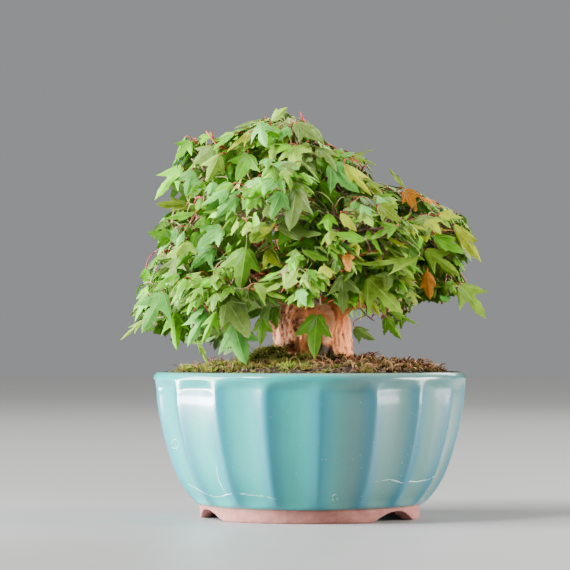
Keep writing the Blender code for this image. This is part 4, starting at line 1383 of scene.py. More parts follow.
class LeafPattern:
    """A leaf of length 1 in its own plane: a blade creased at three fine ribs, closed by its underside."""

    BLADE, RIB, UNDER = range(3)

    def __init__(self, lobe_tip, notch, half):
        self.lobe_tip, self.notch = lobe_tip, notch
        self.points = [(0.0, 0.0, 0.0), (0.0, 1.0, 0.0)]
        lobe = half[lobe_tip]
        length = math.hypot(*lobe)
        sides = []
        for sign in (1, -1):
            rim = [self.add(sign * x, y, -LEAF_CREASE * self.rib_distance(x, y, lobe)) for x, y in half]
            ribs = []
            for k, share in enumerate(SIDE_RIB_STATIONS):
                x, y = lobe[0] * share, lobe[1] * share
                wide = RIB_HALF_WIDTH * (1 - SIDE_RIB_TAPER * k)
                dx, dy = lobe[1] / length * wide, -lobe[0] / length * wide
                outer = self.add(sign * (x + dx), y + dy, 0.0)
                inner = self.add(sign * (x - dx), y - dy, 0.0)
                ribs.append((outer, inner, self.add(sign * x, y, -LEAF_THICKNESS)))
            sides.append((sign, rim, ribs))
        middle = []
        for k, y in enumerate(MIDDLE_RIB_STATIONS):
            wide = RIB_HALF_WIDTH * (1 - MIDDLE_RIB_TAPER * k)
            right, left = self.add(wide, y, 0.0), self.add(-wide, y, 0.0)
            middle.append((right, left, self.add(0.0, y, -LEAF_THICKNESS)))
        self.faces, self.slots = [], []
        for sign, rim, ribs in sides:
            self.add_half(sign, rim, ribs, middle)
        hub, end = 0, 1
        (r1, l1, _), (r2, l2, _), (r3, l3, _) = middle
        for face in ((hub, r1, l1), (l1, r1, r2, l2), (l2, r2, r3, l3), (l3, r3, end)):
            self.keep(face, self.RIB, 1)
        self.points = np.array(self.points)
        self.edge = np.zeros(len(self.points))
        self.edge[[k for _, rim, _ in sides for k in rim] + [1]] = 1.0
        # A plain leaf of eight triangles, by which leaves are kept apart
        kept = (1, lobe_tip, notch, -2)
        self.proxy = [hub] + [rim[k] for _, rim, _ in sides for k in kept] + [end]
        self.proxy_faces = [
            (0, 1, 2), (0, 2, 3), (0, 3, 9), (3, 4, 9), (0, 6, 5), (0, 7, 6), (0, 9, 7), (7, 9, 8),
        ]

    def add(self, x, y, z):
        self.points.append((x, y, z))
        return len(self.points) - 1

    def keep(self, face, slot, sign):
        self.faces.append(tuple(face if sign > 0 else face[::-1]))
        self.slots.append(slot)

    @staticmethod
    def rib_distance(x, y, lobe):
        """The distance of a point from the nearest rib."""
        length = math.hypot(*lobe)
        along = max(0.0, min(length, (x * lobe[0] + y * lobe[1]) / length))
        off = math.hypot(x - lobe[0] / length * along, y - lobe[1] / length * along)
        return min(off, abs(x))

    @staticmethod
    def fans(rib, rim):
        """Faces from a rib's points out to the rim's, where both rows end in the same point."""
        last = len(rib) - 1
        cuts = [round((len(rim) - 1) * k / last) for k in range(last + 1)]
        faces = []
        for k in range(last):
            face = [rib[k]] + rim[cuts[k] : cuts[k + 1] + 1]
            faces.append(face + [rib[k + 1]] if k + 1 < last else face)
        return faces

    def half_blade(self, rim, outer, inner, middle):
        """The faces of half a blade between its rim and these points of its side rib and middle rib."""
        hub, end = 0, 1
        tip, notch = self.lobe_tip, self.notch
        cut = (tip + notch) // 2
        faces = self.fans([hub, *outer, rim[tip]], rim[: tip + 1])
        faces.append([inner[1]] + rim[tip : cut + 1])
        faces.append([inner[0], inner[1]] + rim[cut : notch + 1])
        faces.append([hub, inner[0], rim[notch], middle[0]])
        return faces + self.fans([*middle, end], rim[notch:] + [end])

    def add_half(self, sign, rim, ribs, middle):
        outer, inner, under = (list(row) for row in zip(*ribs))
        side = 0 if sign > 0 else 1
        for face in self.half_blade(rim, outer, inner, [station[side] for station in middle]):
            self.keep(face, self.BLADE, sign)
        rib = ((0, outer[0], inner[0]), (inner[0], outer[0], outer[1], inner[1]))
        for face in rib + ((inner[1], outer[1], rim[self.lobe_tip]),):
            self.keep(face, self.RIB, sign)
        for face in self.half_blade(rim, under, under, [station[2] for station in middle]):
            self.keep(face[::-1], self.UNDER, sign)


def leaf_patterns():
    """Variants of each shape of leaf, whose teeth stray from one to the next."""
    chance = random.Random(LEAF_VARIANTS)
    patterns = {}
    for name, (lobe_tip, notch, half) in LEAF_OUTLINES.items():
        for k in range(LEAF_VARIANTS):
            stray = [[c + chance.uniform(-TOOTH_SCATTER, TOOTH_SCATTER) for c in corner] for corner in half]
            patterns[name, k] = LeafPattern(lobe_tip, notch, stray)
    return patterns


PATTERNS = leaf_patterns()


class Leaf:
    """A leaf's place, its bends and its tint, with its stalk from a twig."""

    def __init__(self, node, base, along, facing, length, shape, width, tint, chance):
        self.node, self.base = node, base
        self.along = along.normalized()
        self.across = self.along.cross(facing).normalized()
        self.up = self.across.cross(self.along)
        self.length = length
        self.shape, self.tint = (shape, chance.randrange(LEAF_VARIANTS)), tint
        self.width = width * LEAF_WIDTH
        self.droop = chance.uniform(*LEAF_DROOP)
        self.cup = chance.uniform(*LEAF_CUP)
        self.twist = chance.uniform(*LEAF_TWIST)
        self.skew = chance.uniform(*LEAF_SKEW)
        self.wave = chance.uniform(*LEAF_WAVE)
        self.wave_start = chance.uniform(0, 2 * math.pi)
        self.red_stalk = chance.random() < RED_STALKS
        self.middle = base + self.along * length * 0.45
        self.reach = 0.62 * length * max(1.0, self.width)

    def bent(self, points):
        """Points of the leaf's pattern, bent and put in place."""
        x = points[:, 0] * self.width * np.where(points[:, 0] > 0, self.skew, 2 - self.skew)
        y = points[:, 1].copy()
        z = points[:, 2] - self.droop * y * y - self.cup * np.abs(x) ** 1.3
        z = z + self.wave * np.abs(x) * np.sin(9 * y + 5 * x + self.wave_start)
        turn = self.twist * y
        x, z = x * np.cos(turn) - z * np.sin(turn), x * np.sin(turn) + z * np.cos(turn)
        axes = np.array((self.across, self.along, self.up))
        return np.array(self.base) + (np.stack((x, y, z), axis=1) * self.length) @ axes

    def corners(self):
        pattern = PATTERNS[self.shape]
        return self.bent(pattern.points[pattern.proxy])

    def tree(self):
        return BVHTree.FromPolygons(self.corners().tolist(), PATTERNS[self.shape].proxy_faces)

    def stalk(self):
        span = (self.base - self.node).length
        middle = self.base - self.along * span * 0.4 + UP * span * 0.08
        end = self.base + self.along * 0.03 * self.length - self.up * 0.1 * MM
        return curve_points(self.node, middle, end, 4)


def scatter(chance, spread):
    return Vector(chance.uniform(-spread, spread) for _ in range(3))


def level_side(way):
    """The level direction square to a twig, or any square one where the twig stands upright."""
    side = way.cross(UP)
    return side.normalized() if side.length > 0.1 else way.orthogonal().normalized()


def borders(name):
    """The planes round a mass's own space: each a direction and how far the mass may go along it."""
    heart, size = MASSES[name][:2]
    planes = []
    for other, (other_heart, other_size, _, _) in MASSES.items():
        if other != name:
            way = (Vector(other_heart) - Vector(heart)) * MM
            mine, theirs = reach_along(size, way), reach_along(other_size, way)
            share = (way.length**2 + mine**2 - theirs**2) / (2 * way.length)
            unit = way.normalized()
            planes.append((unit, Vector(heart).dot(unit) * MM + share + BORDER_SLACK))
    return planes


class Crown:
    """All the twigs and leaves of the tree, and what they keep clear of."""

    def __init__(self, foliage):
        self.foliage = foliage
        self.boughs = all_boughs()
        self.guards = [self.guard(trunk_body(sides=24, step=7.0, margin=LIMB_MARGIN))]
        self.guards += [self.guard(bough.body(LIMB_MARGIN)) for bough in self.boughs.values()]
        self.sky = ~outline_mask(CROWN_OUTLINE)
        self.hearts = np.array([mass[0] for mass in MASSES.values()]) * MM
        self.sizes = np.array([mass[1] for mass in MASSES.values()]) * MM
        self.leaves, self.trees = [], []
        self.middles, self.reaches = [], []
        self.photo_leaves = []
        self.twigs = []
        self.shoots = []

    @staticmethod
    def guard(bm):
        tree = BVHTree.FromBMesh(bm)
        bm.free()
        return tree

    def within(self, points, reach):
        """Whether every point lies in or near some mass, and above the soil."""
        points = np.array(points)
        off = (points[:, None, :] - self.hearts) / self.sizes
        near = (off**2).sum(axis=2).min(axis=1) < reach**2
        return bool(near.all() and (points[:, 2] > LOWEST_LEAF).all())

    def against_sky(self, points):
        for point in points:
            x, y = photo_pixel(Vector(point))
            if self.sky[int(max(0, min(PHOTO_SIZE - 1, y))), int(max(0, min(PHOTO_SIZE - 1, x)))]:
                return True
        return False

    def hides_photo_leaf(self, leaf):
        """Whether a leaf would stand between the viewer and a leaf that the photograph shows."""
        x, y = photo_pixel(leaf.middle)
        own_size = PHOTO_LEAF_CLEARANCE * leaf.length / PIXEL
        for shown, (other_x, other_y), size in self.photo_leaves:
            near = math.hypot(x - other_x, y - other_y) < size + own_size
            if near and leaf.middle.y < shown.middle.y + 2 * MM:
                return True
        if leaf.middle.y >= 0:
            return False
        return any(math.hypot(x - place[0], y - place[1]) < half + own_size for place, half in PHOTO_OPENINGS)

    def clear_of_leaves(self, leaf, tree):
        if not self.leaves:
            return True
        gaps = np.linalg.norm(np.array(self.middles) - np.array(leaf.middle), axis=1)
        near = np.nonzero(gaps < np.array(self.reaches) + leaf.reach)[0]
        return not any(tree.overlap(self.trees[k]) for k in near)

    def keep(self, leaf, tree):
        self.leaves.append(leaf)
        self.trees.append(tree)
        self.middles.append(tuple(leaf.middle))
        self.reaches.append(leaf.reach)

    def front_depth(self, pixel):
        """The Y of the crown's front behind a pixel, from its masses."""
        ray = photo_ray(pixel).normalized()
        best, nearest = None, None
        for heart, size, _, _ in MASSES.values():
            scale = Vector((1 / s for s in size)) * (1000 / 1.12)
            off = (EYE - Vector(heart) * MM) * scale
            run = ray * scale
            a, b, c = run.dot(run), off.dot(run), off.dot(off) - 1
            inside = b * b - a * c
            if inside > 0:
                depth = (EYE + ray * ((-b - math.sqrt(inside)) / a)).y
                best = depth if best is None else min(best, depth)
            miss = math.sqrt(max(0.0, c + 1 - b * b / a))
            if heart[1] < FRONT_HALF and (nearest is None or miss < nearest[0]):
                nearest = (miss, (heart[1] + 0.3 * size[1]) * MM)
        return nearest[1] if best is None else best

    def nearest_twig(self, point):
        spots = [spot for line, _ in self.twigs for spot in line[1:]]
        return min(spots, key=lambda spot: (spot - point).length + 0.4 * max(0.0, point.z - spot.z))

    def add_photo_leaves(self):
        chance = random.Random(self.foliage.seed)
        for base, tip, tilt, shape, width, tint in PHOTO_LEAVES:
            middle = ((base[0] + tip[0]) / 2, (base[1] + tip[1]) / 2)
            depth = self.front_depth(middle)
            start = photo_point(base, depth)
            flat = photo_point(tip, depth) - start
            lean = PHOTO_LEAF_LEAN * (1 - tilt)
            along = flat.normalized() * math.cos(lean) + VIEWER * math.sin(lean)
            facing = VIEWER * (1 - tilt) + UP * (tilt + 0.25) + flat.normalized() * 0.15
            length = flat.length / math.cos(lean)
            carrier = self.nearest_twig(start - VIEWER * 6 * MM)
            towards = start - carrier
            node = carrier
            if towards.length > TWIG_WANTED * MM:
                node = start - (towards.normalized() + along * 0.4).normalized() * TWIG_TO_LEAF * MM
                bend = carrier + towards * 0.5 + UP * 0.12 * towards.length
                self.twigs.append((curve_points(carrier, bend, node, TWIG_POINTS), SIDE_TWIG_RADII))
            leaf = Leaf(node, start, along, facing, length, shape, width, tint, chance)
            leaf.droop *= 0.5
            leaf.twist *= 0.5
            leaf.red_stalk = chance.random() < RED_PHOTO_STALKS
            self.keep(leaf, leaf.tree())
            size = PHOTO_LEAF_CLEARANCE * length / PIXEL
            self.photo_leaves.append((leaf, photo_pixel(leaf.middle), size))
        for shoot in PHOTO_SHOOTS:
            depth = self.front_depth(shoot[0]) + 6 * MM
            self.shoots.append([photo_point(pixel, depth) for pixel in shoot])

    def grow(self):
        trunk_tip, _ = trunk_point(TRUNK_LINE[-1][0])
        masses = []
        for name in MASSES:
            bough = self.boughs.get(name)
            start, way = (bough.points[-1], bough.way) if bough else (trunk_tip, UP)
            masses.append(Mass(self, name, start, way))
        self.add_photo_leaves()
        for mass in masses:
            mass.grow_leaves()


class Mass:
    """A mass of foliage: one stem, the twigs that branch from it, their side twigs and all their leaves."""

    def __init__(self, crown, name, start, way):
        heart, size, _, seed = MASSES[name]
        self.crown = crown
        self.foliage = crown.foliage
        self.heart = Vector(heart) * MM
        self.size = Vector(size) * MM
        self.chance = random.Random(seed)
        self.planes = borders(name)
        self.shaded = name == SHADED_MASS
        self.twigs = []
        self.count = 0
        self.grow_stem(start, way)
        self.grow_twigs()
        if name in crown.boughs:
            self.grow_bough_twigs(crown.boughs[name])

    def holds(self, points, reach):
        """Whether all these points are in the mass's space and within its reach."""
        for point in points:
            off = Vector(point) - self.heart
            scaled = Vector((off.x / self.size.x, off.y / self.size.y, off.z / self.size.z))
            if scaled.length > reach or point[2] < LOWEST_LEAF:
                return False
            if any(Vector(point).dot(unit) > limit for unit, limit in self.planes):
                return False
        return True

    def grow_stem(self, start, way):
        inward = (self.heart - start).normalized()
        end = self.heart + inward * reach_along(self.size / MM, inward) * STEM_OVERSHOOT
        middle = start + way * (end - start).length * STEM_BEND
        for lift in range(STEM_LIFTS):
            self.stem = curve_points(start - way * MM, middle, end + UP * 2 * lift * MM, STEM_POINTS)
            if not self.crown.against_sky([point - UP * STEM_CLEARANCE for point in self.stem[-5:]]):
                break
        self.inward = inward
        self.crown.twigs.append((self.stem, (BOUGH_TIP_RADIUS * 1.02, STEM_TIP_RADIUS)))

    def grow_twigs(self):
        many = self.foliage.twigs
        for k in range(many):
            height = 1 - 2 * (k + 0.5) / many
            angle = k * GOLDEN_ANGLE + self.chance.uniform(0, 1)
            flat = math.sqrt(1 - height**2)
            way = Vector((flat * math.cos(angle), flat * math.sin(angle), height))
            if way.dot(self.inward) > -TWIG_BACKWARD:
                self.grow_twig(way)

    def grow_twig(self, way):
        forward = 0.5 + 0.5 * way.dot(self.inward)
        place = round((FIRST_TWIG + (1 - FIRST_TWIG) * forward) * STEM_POINTS)
        start = self.stem[place]
        follow = (self.stem[place] - self.stem[place - 1]).normalized()
        reach = TWIG_REACH
        while reach > TWIG_SHORTEST:
            end = self.heart + Vector(a * b for a, b in zip(way, self.size)) * reach
            bend = (way + follow * TWIG_FOLLOW + UP * TWIG_LIFT).normalized()
            middle = start + bend * (end - start).length * TWIG_BEND
            points = curve_points(start, middle, end, TWIG_POINTS)
            if self.holds(points[1:], 1.0) and not self.crown.against_sky(points[-2:]):
                self.add_twig(points, TWIG_RADII)
                self.grow_side_twigs(points)
                return
            reach *= TWIG_SHRINK

    def grow_bough_twigs(self, bough):
        """Fine twigs from the bare stretch of the bough, turned by the golden angle from one to the next."""
        trunk = self.crown.guards[0]
        for place in BOUGH_TWIGS:
            start = bough.points[place]
            way = (bough.points[place + 1] - start).normalized()
            side = Quaternion(way, place * GOLDEN_ANGLE + self.chance.uniform(0, 1)) @ level_side(way)
            length = self.chance.uniform(*BOUGH_TWIG_LENGTH) * MM
            out = (side + way * 0.4 + UP * 0.3).normalized() * length
            line = curve_points(start, start + (side + way * 0.3) * length * 0.5, start + out, TWIG_POINTS)
            blocked = trunk.ray_cast(start, out.normalized(), length)[0]
            if not blocked and self.crown.within(line, LEAF_REACH) and not self.crown.against_sky(line[-2:]):
                self.add_twig(line, SIDE_TWIG_RADII)

    def add_twig(self, points, radii):
        self.twigs.append(points)
        self.crown.twigs.append((points, radii))

    def grow_side_twigs(self, points):
        """A pair of finer twigs at each of two places along a twig."""
        for k, share in enumerate(SIDE_TWIGS):
            place = max(1, round(share * TWIG_POINTS))
            way = (points[place] - points[place - 1]).normalized()
            turn = self.chance.uniform(0, math.pi)
            for half in (0, math.pi):
                side = Quaternion(way, turn + half) @ level_side(way)
                out = way * math.cos(SIDE_TWIG_SPREAD) + side * math.sin(SIDE_TWIG_SPREAD) + UP * 0.1
                out.normalize()
                length = self.chance.uniform(*SIDE_TWIG_LENGTH) * MM * (1.0 - 0.2 * k)
                end = points[place] + out * length
                middle = points[place] + (out + way * 0.5) * length * 0.4
                line = curve_points(points[place], middle, end, TWIG_POINTS)
                if self.holds(line[1:], 1.1) and not self.crown.against_sky(line[-1:]):
                    self.add_twig(line, SIDE_TWIG_RADII)

    def grow_leaves(self):
        # Tints dealt out by side, partly painted light and shade
        shares = TINT_SHARES[self.side()]
        self.sprays = [self.chance.choices(TINTS, shares)[0] for _ in self.twigs]
        for k in range(len(self.twigs)):
            self.grow_leaf(k, 1.0, None)
        for pair, share in enumerate(LEAF_PAIRS):
            for k in range(len(self.twigs)):
                turn = self.chance.uniform(-PAIR_SCATTER, PAIR_SCATTER) + pair * math.pi / 2
                self.grow_leaf(k, share, turn)
                self.grow_leaf(k, share, turn + math.pi)

    def side(self):
        if self.shaded:
            return "shoulder"
        x = self.heart.x
        return "left" if x < -35 * MM else "right" if x > 20 * MM else "middle"

    def grow_leaf(self, twig, share, turn):
        if self.count >= self.foliage.leaves_in_a_mass:
            return
        node, way = self.twig_point(twig, share)
        tint = self.sprays[twig]
        if self.chance.random() < STRAY_TINTS:
            tint = self.chance.choices(TINTS, TINT_SHARES[self.side()])[0]
        for k in range(LEAF_TRIES):
            leaf = self.try_leaf(node, way, turn, tint, 1 - LEAF_SHRINK * k / LEAF_TRIES)
            tree = self.fits(leaf)
            if tree:
                self.crown.keep(leaf, tree)
                self.count += 1
                return

    def twig_point(self, twig, share):
        points = self.twigs[twig]
        along = share * TWIG_POINTS
        k = min(int(along), TWIG_POINTS - 1)
        way = (points[k + 1] - points[k]).normalized()
        return points[k].lerp(points[k + 1], along - k), way

    def try_leaf(self, node, way, turn, tint, size):
        chance = self.chance
        if turn is None:
            stalk_way = way + scatter(chance, STALK_SCATTER)
        else:
            side = Quaternion(way, turn + chance.uniform(-SIDE_SCATTER, SIDE_SCATTER)) @ level_side(way)
            stalk_way = way * math.cos(STALK_SPREAD) + side * math.sin(STALK_SPREAD) + UP * STALK_LIFT
        stalk_way.normalize()
        base = node + stalk_way * chance.uniform(*LEAF_STALK) * MM
        out = Vector(a / b for a, b in zip(base - self.heart, self.size)).normalized()
        outward = Vector((base.x, base.y, 0)).normalized()
        level = Vector((out.x, out.y, 0)) * LEAF_OUT + outward * LEAF_OUTWARD
        along = level - UP * LEAF_FALL + stalk_way * LEAF_FOLLOW + scatter(chance, LEAF_SCATTER)
        facing = out * FACE_OUT + level * FACE_LEVEL + UP * FACE_UP + scatter(chance, FACE_SCATTER)
        length = chance.triangular(self.foliage.leaf_least, self.foliage.leaf_most, USUAL_LEAF) * size
        shape = chance.choices(LEAF_SHAPES, SHAPE_SHARES)[0]
        return Leaf(node, base, along, facing, length, shape, chance.uniform(*LEAF_WIDTHS), tint, chance)

    def fits(self, leaf):
        """The leaf's search tree if the leaf fits, or None."""
        if leaf.along.dot(leaf.base - leaf.node) < -0.3 * (leaf.base - leaf.node).length:
            return None
        corners = leaf.corners()
        if not self.crown.within(corners, LEAF_REACH) or self.crown.against_sky(corners):
            return None
        if self.crown.hides_photo_leaf(leaf):
            return None
        tree = leaf.tree()
        if any(tree.overlap(guard) for guard in self.crown.guards):
            return None
        return tree if self.crown.clear_of_leaves(leaf, tree) else None


def leaf_materials(foliage, tint):
    """A leaf's blade, yellower towards its rim, its ribs and its paler underside."""
    colour = Vector(getattr(foliage, f"tint_{tint}"))
    dull = Vector(a * b for a, b in zip(BLADE_DULL, colour))
    blade = surface(f"leaf_{tint}", colour * BLADE_BRIGHT, dull, "leaf")
    painted_over(blade, "edge", colour.lerp(Vector(foliage.leaf_edge), RIM_SHARE), 0.4, 1.15)
    rib = surface(f"rib_{tint}", colour.lerp(Vector(foliage.leaf_rib), RIB_SHARE), colour * 1.2, "rib")
    back = colour.lerp(Vector(foliage.leaf_back), BACK_SHARE)
    under = surface(f"leaf_back_{tint}", back, back * 0.8, "leaf_back")
    return [blade, rib, under]


def make_foliage(foliage):
    """Every twig, stalk and leaf, joined by kind and leaves by tint."""
    crown = Crown(foliage)
    crown.grow()
    names = [f"foliage_{name}" for name in MASSES]
    wood = Joined()
    for points, radii in crown.twigs:
        sides = 6 if radii[0] > TWIG_RADII[0] else 5
        slot = 0 if radii[0] >= TWIG_RADII[0] else 1
        corners, faces = tube_shape(points, tapered(*radii, len(points) - 1), sides)
        wood.add(corners, faces, [slot] * len(faces))
    brown = surface("twig_bark", foliage.twig, shaded(foliage.twig, 0.6))
    young = surface("twig_young", foliage.twig_young, foliage.twig)
    finished(wood.mesh("twigs"), "twigs", [brown, young], names)

    stalks = Joined()
    for leaf in crown.leaves:
        corners, faces = tube_shape(leaf.stalk(), tapered(*STALK_RADII, 4), 4)
        stalks.add(corners, faces, [0 if leaf.red_stalk else 1] * len(faces))
    for shoot in crown.shoots:
        corners, faces = tube_shape(shoot, SHOOT_RADII, 6)
        stalks.add(corners, faces, [0] * len(faces))
    red = surface("stalk_red", foliage.stalk_red, shaded(foliage.stalk_red, 0.7))
    green = surface("stalk_green", foliage.stalk_green, foliage.stalk_red)
    finished(stalks.mesh("leaf_stalks"), "leaf_stalks", [red, green])

    for tint in TINTS:
        blades = Joined()
        edges = []
        for leaf in crown.leaves:
            if leaf.tint == tint:
                pattern = PATTERNS[leaf.shape]
                blades.add(leaf.bent(pattern.points), pattern.faces, pattern.slots)
                edges.append(pattern.edge)
        if blades.count:
            mesh = blades.mesh(f"leaves_{tint}")
            paint(mesh, "edge", np.concatenate(edges))
            finished(mesh, mesh.name, leaf_materials(foliage, tint), sharp=RIM_ANGLE)


# Stage


def make_stage(studio):
    """A pale floor, soft lights and the photograph's camera."""
    scene = bpy.context.scene
    bm = bmesh.new()
    bmesh.ops.create_circle(bm, cap_ends=True, segments=96, radius=FLOOR_RADIUS)
    mesh = mesh_of(bm, "studio_floor")
    mesh.materials.append(surface("studio_floor", studio.floor, shaded(studio.floor, 0.97)))
    floor = bpy.data.objects.new("studio_floor", mesh)
    scene.collection.objects.link(floor)

    world = bpy.data.worlds.new("studio")
    world.use_nodes = True
    tree = world.node_tree
    colour = (*studio.backdrop, 1)
    sky = tree.nodes["Background"]
    feed(sky, {"Color": colour, "Strength": studio.ambient})
    seen = add_node(tree, "Background", {"Color": colour, "Strength": studio.backdrop_light})
    ray = add_node(tree, "LightPath", {})
    choice = add_node(tree, "MixShader", {
        "Fac": ray.outputs["Is Camera Ray"], 1: sky.outputs["Background"], 2: seen.outputs["Background"],
    })
    feed(tree.nodes["World Output"], {"Surface": choice.outputs["Shader"]})
    scene.world = world

    # Each softbox with its place, its size, its power, its colour and the height that it faces
    lamps = (
        ("key_softbox", (-2.3, -0.2, 0.8), (1.5, 1.7), studio.key, (0.97, 1.0, 0.98), 0.12),
        ("fill_softbox", (2.3, -0.1, 0.6), (1.6, 1.1), studio.fill, (1.0, 0.95, 0.90), 0.12),
        ("back_softbox", (0.8, 1.9, 1.3), (1.2, 1.0), studio.back, (1.0, 1.0, 1.0), 0.12),
        ("left_card", (-0.40, -0.02, 0.024), (0.30, 0.045), studio.cards, (1.0, 1.0, 1.0), 0.045),
        ("right_card", (0.42, -0.12, 0.024), (0.20, 0.045), studio.cards * 0.08, (1.0, 1.0, 1.0), 0.045),
    )
    sun = bpy.data.lights.new("top_light", "SUN")
    sun.energy = studio.top
    sun.angle = SUN_SPREAD
    top = bpy.data.objects.new("top_light", sun)
    top.rotation_euler = SUN_TURN
    scene.collection.objects.link(top)
    for name, place, (width, height), energy, colour, aim in lamps:
        data = bpy.data.lights.new(name, "AREA")
        data.shape = "RECTANGLE"
        data.size, data.size_y = width, height
        data.energy = energy
        data.color = colour
        lamp = bpy.data.objects.new(name, data)
        lamp.location = place
        lamp.rotation_euler = (UP * aim - Vector(place)).to_track_quat("-Z", "Y").to_euler()
        lamp.visible_camera = False
        scene.collection.objects.link(lamp)

    data = bpy.data.cameras.new("photo_camera")
    data.sensor_width = SENSOR
    data.lens = SENSOR * CAMERA_PIXELS / PHOTO_SIZE
    data.clip_start, data.clip_end = 0.05, 30.0
    camera = bpy.data.objects.new("photo_camera", data)
    camera.location = EYE + POT_AXIS
    camera.rotation_euler = (math.pi / 2 + PITCH, 0, 0)
    scene.collection.objects.link(camera)
    scene.camera = camera


# Settings


def colour_setting(name, description, default):
    return FloatVectorProperty(
        name=name, description=description, subtype="COLOR", size=3, min=0.0, max=1.0, default=default
    )


def length_setting(name, description, default):
    return FloatProperty(
        name=name, description=description, default=default, min=0.0, subtype="DISTANCE", unit="LENGTH"
    )


def power_setting(name, description, default):
    return FloatProperty(
        name=name, description=description, default=default, min=0.0, subtype="POWER", unit="POWER"
    )


class PotSettings(bpy.types.PropertyGroup):
    flute_depth: length_setting("Flute depth", "How deep the flutes are carved", 3.2 * MM)
    flute_steps: IntProperty(name="Flute steps", description="Faces across one flute", default=20, min=4)
    lime_width: length_setting("Lime width", "Half the width of a lime mark", 0.6 * MM)
    glaze: colour_setting("Glaze", "The glaze in the flutes", (0.004, 0.28, 0.27))
    glaze_thin: colour_setting("Thin glaze", "The glaze in its paler clouds", (0.02, 0.35, 0.32))
    # Painted shade: the darker, bluer glaze beside the ridges
    glaze_ridge_shade: colour_setting("Pooled glaze", "The bluer glaze beside the ridges", (0.006, 0.15, 0.24))
    # Painted sheen over painted shade: the greyer, darker glaze to the viewer's right
    glaze_sheen_and_shade: colour_setting("Grey glaze", "The greyer glaze on one side", (0.105, 0.175, 0.17))
    glaze_edge: colour_setting("Glaze edge", "The glaze on ridges and lip", (0.24, 0.41, 0.31))
    lime: colour_setting("Lime", "Dried lime", (0.36, 0.60, 0.56))
    clay: colour_setting("Clay", "Unglazed clay of the foot ring", (0.36, 0.14, 0.115))
    clay_dark: colour_setting("Dark clay", "Stains on the clay", (0.27, 0.10, 0.085))


class GroundSettings(bpy.types.PropertyGroup):
    seed: IntProperty(name="Seed", description="Which scatter of grains and moss", default=11)
    grains: IntProperty(name="Grains", description="How many grains lie on the soil", default=1500, min=0)
    tufts: IntProperty(name="Tufts", description="How many tufts of moss", default=3400, min=0)
    shoots_in_a_tuft: IntProperty(name="Shoots", description="Shoots in one tuft", default=7, min=1)
    stalks: IntProperty(name="Stalks", description="Stalks that stand out of the moss", default=700, min=0)
    moss_height: length_setting("Moss height", "Length of a usual shoot", 3.0 * MM)
    soil: colour_setting("Soil", "Damp soil", (0.018, 0.011, 0.006))
    soil_dry: colour_setting("Dry soil", "Soil dried at the top", (0.050, 0.026, 0.013))
    moss_bright: colour_setting("Bright moss", "Fresh moss", (0.31, 0.37, 0.035))
    moss_shade: colour_setting("Deep moss", "Moss in its shade", (0.13, 0.18, 0.015))
    moss_dry: colour_setting("Dry moss", "Old brown moss", (0.28, 0.15, 0.05))
    stalk: colour_setting("Moss stalk", "Stalks of the moss", (0.30, 0.08, 0.03))
    straw: colour_setting("Straw", "Dry curls in the moss", (0.50, 0.29, 0.10))


class WoodSettings(bpy.types.PropertyGroup):
    relief: length_setting("Relief", "How far the bark stands out for one unit of its pattern", 1.0 * MM)
    skin_step: length_setting("Skin step", "Size of the bark's faces", 0.62 * MM)
    bark: colour_setting("Bark", "Old brown bark", (0.44, 0.155, 0.06))
    bark_fresh: colour_setting("Fresh bark", "Orange bark where flakes have come off", (0.95, 0.32, 0.105))
    # Pale on bleached roots, and on ridges partly a painted sheen
    root_pale: colour_setting("Pale bark", "Bleached roots and ridges", (0.84, 0.60, 0.42))
    # Painted shade in the crevices between the strips of bark
    crevice: colour_setting("Crevice", "Between the strips of bark", (0.11, 0.03, 0.014))
    # Painted shade in the hollow at the foot, and bark darker towards the soil
    hollow_shade_and_dark_foot: colour_setting("Damp bark", "Bark stained at the soil", (0.045, 0.025, 0.008))


class FoliageSettings(bpy.types.PropertyGroup):
    seed: IntProperty(name="Seed", description="Which bends the photographed leaves have", default=7)
    twigs: IntProperty(name="Twigs", description="Twigs tried in one mass", default=14, min=1)
    leaves_in_a_mass: IntProperty(name="Leaves", description="Most leaves in one mass", default=115, min=1)
    leaf_least: length_setting("Smallest leaf", "Length of the smallest blade", 12 * MM)
    leaf_most: length_setting("Largest leaf", "Length of the largest blade", 24 * MM)
    twig: colour_setting("Twig", "Bark of the twigs", (0.24, 0.15, 0.10))
    twig_young: colour_setting("Young twig", "This year's shoots", (0.38, 0.17, 0.10))
    stalk_red: colour_setting("Red stalk", "Leaf stalks in the sun", (0.50, 0.055, 0.03))
    stalk_green: colour_setting("Green stalk", "Leaf stalks in the shade", (0.28, 0.34, 0.08))
    # Also painted shade: the darkest tint stands in for leaves in shade
    tint_deep: colour_setting("Deep leaf", "Old leaves inside", (0.048, 0.12, 0.008))
    tint_green: colour_setting("Green leaf", "Plain green", (0.1, 0.26, 0.011))
    tint_fresh: colour_setting("Fresh leaf", "Fresh green", (0.105, 0.34, 0.008))
    tint_grey: colour_setting("Grey leaf", "Greyish green", (0.135, 0.24, 0.04))
    # Partly a painted sheen: the key light's bluish sheen on leaves, most of all on the left
    tint_mint: colour_setting("Mint leaf", "Bluish pale green", (0.115, 0.41, 0.06))
    tint_lime: colour_setting("Lime leaf", "New leaves", (0.16, 0.52, 0.006))
    tint_pale: colour_setting("Pale leaf", "Pale yellowish green", (0.235, 0.43, 0.035))
    tint_olive: colour_setting("Olive leaf", "Olive", (0.14, 0.23, 0.012))
    tint_yellow: colour_setting("Yellow leaf", "Yellowing leaves", (0.36, 0.45, 0.016))
    tint_autumn: colour_setting("Autumn leaf", "Orange leaves", (0.44, 0.15, 0.01))
    leaf_edge: colour_setting("Leaf edge", "What a blade's edge yellows to", (0.42, 0.48, 0.05))
    leaf_rib: colour_setting("Leaf rib", "What a rib pales to", (0.50, 0.58, 0.22))
    leaf_back: colour_setting("Leaf back", "What an underside pales to", (0.30, 0.40, 0.18))


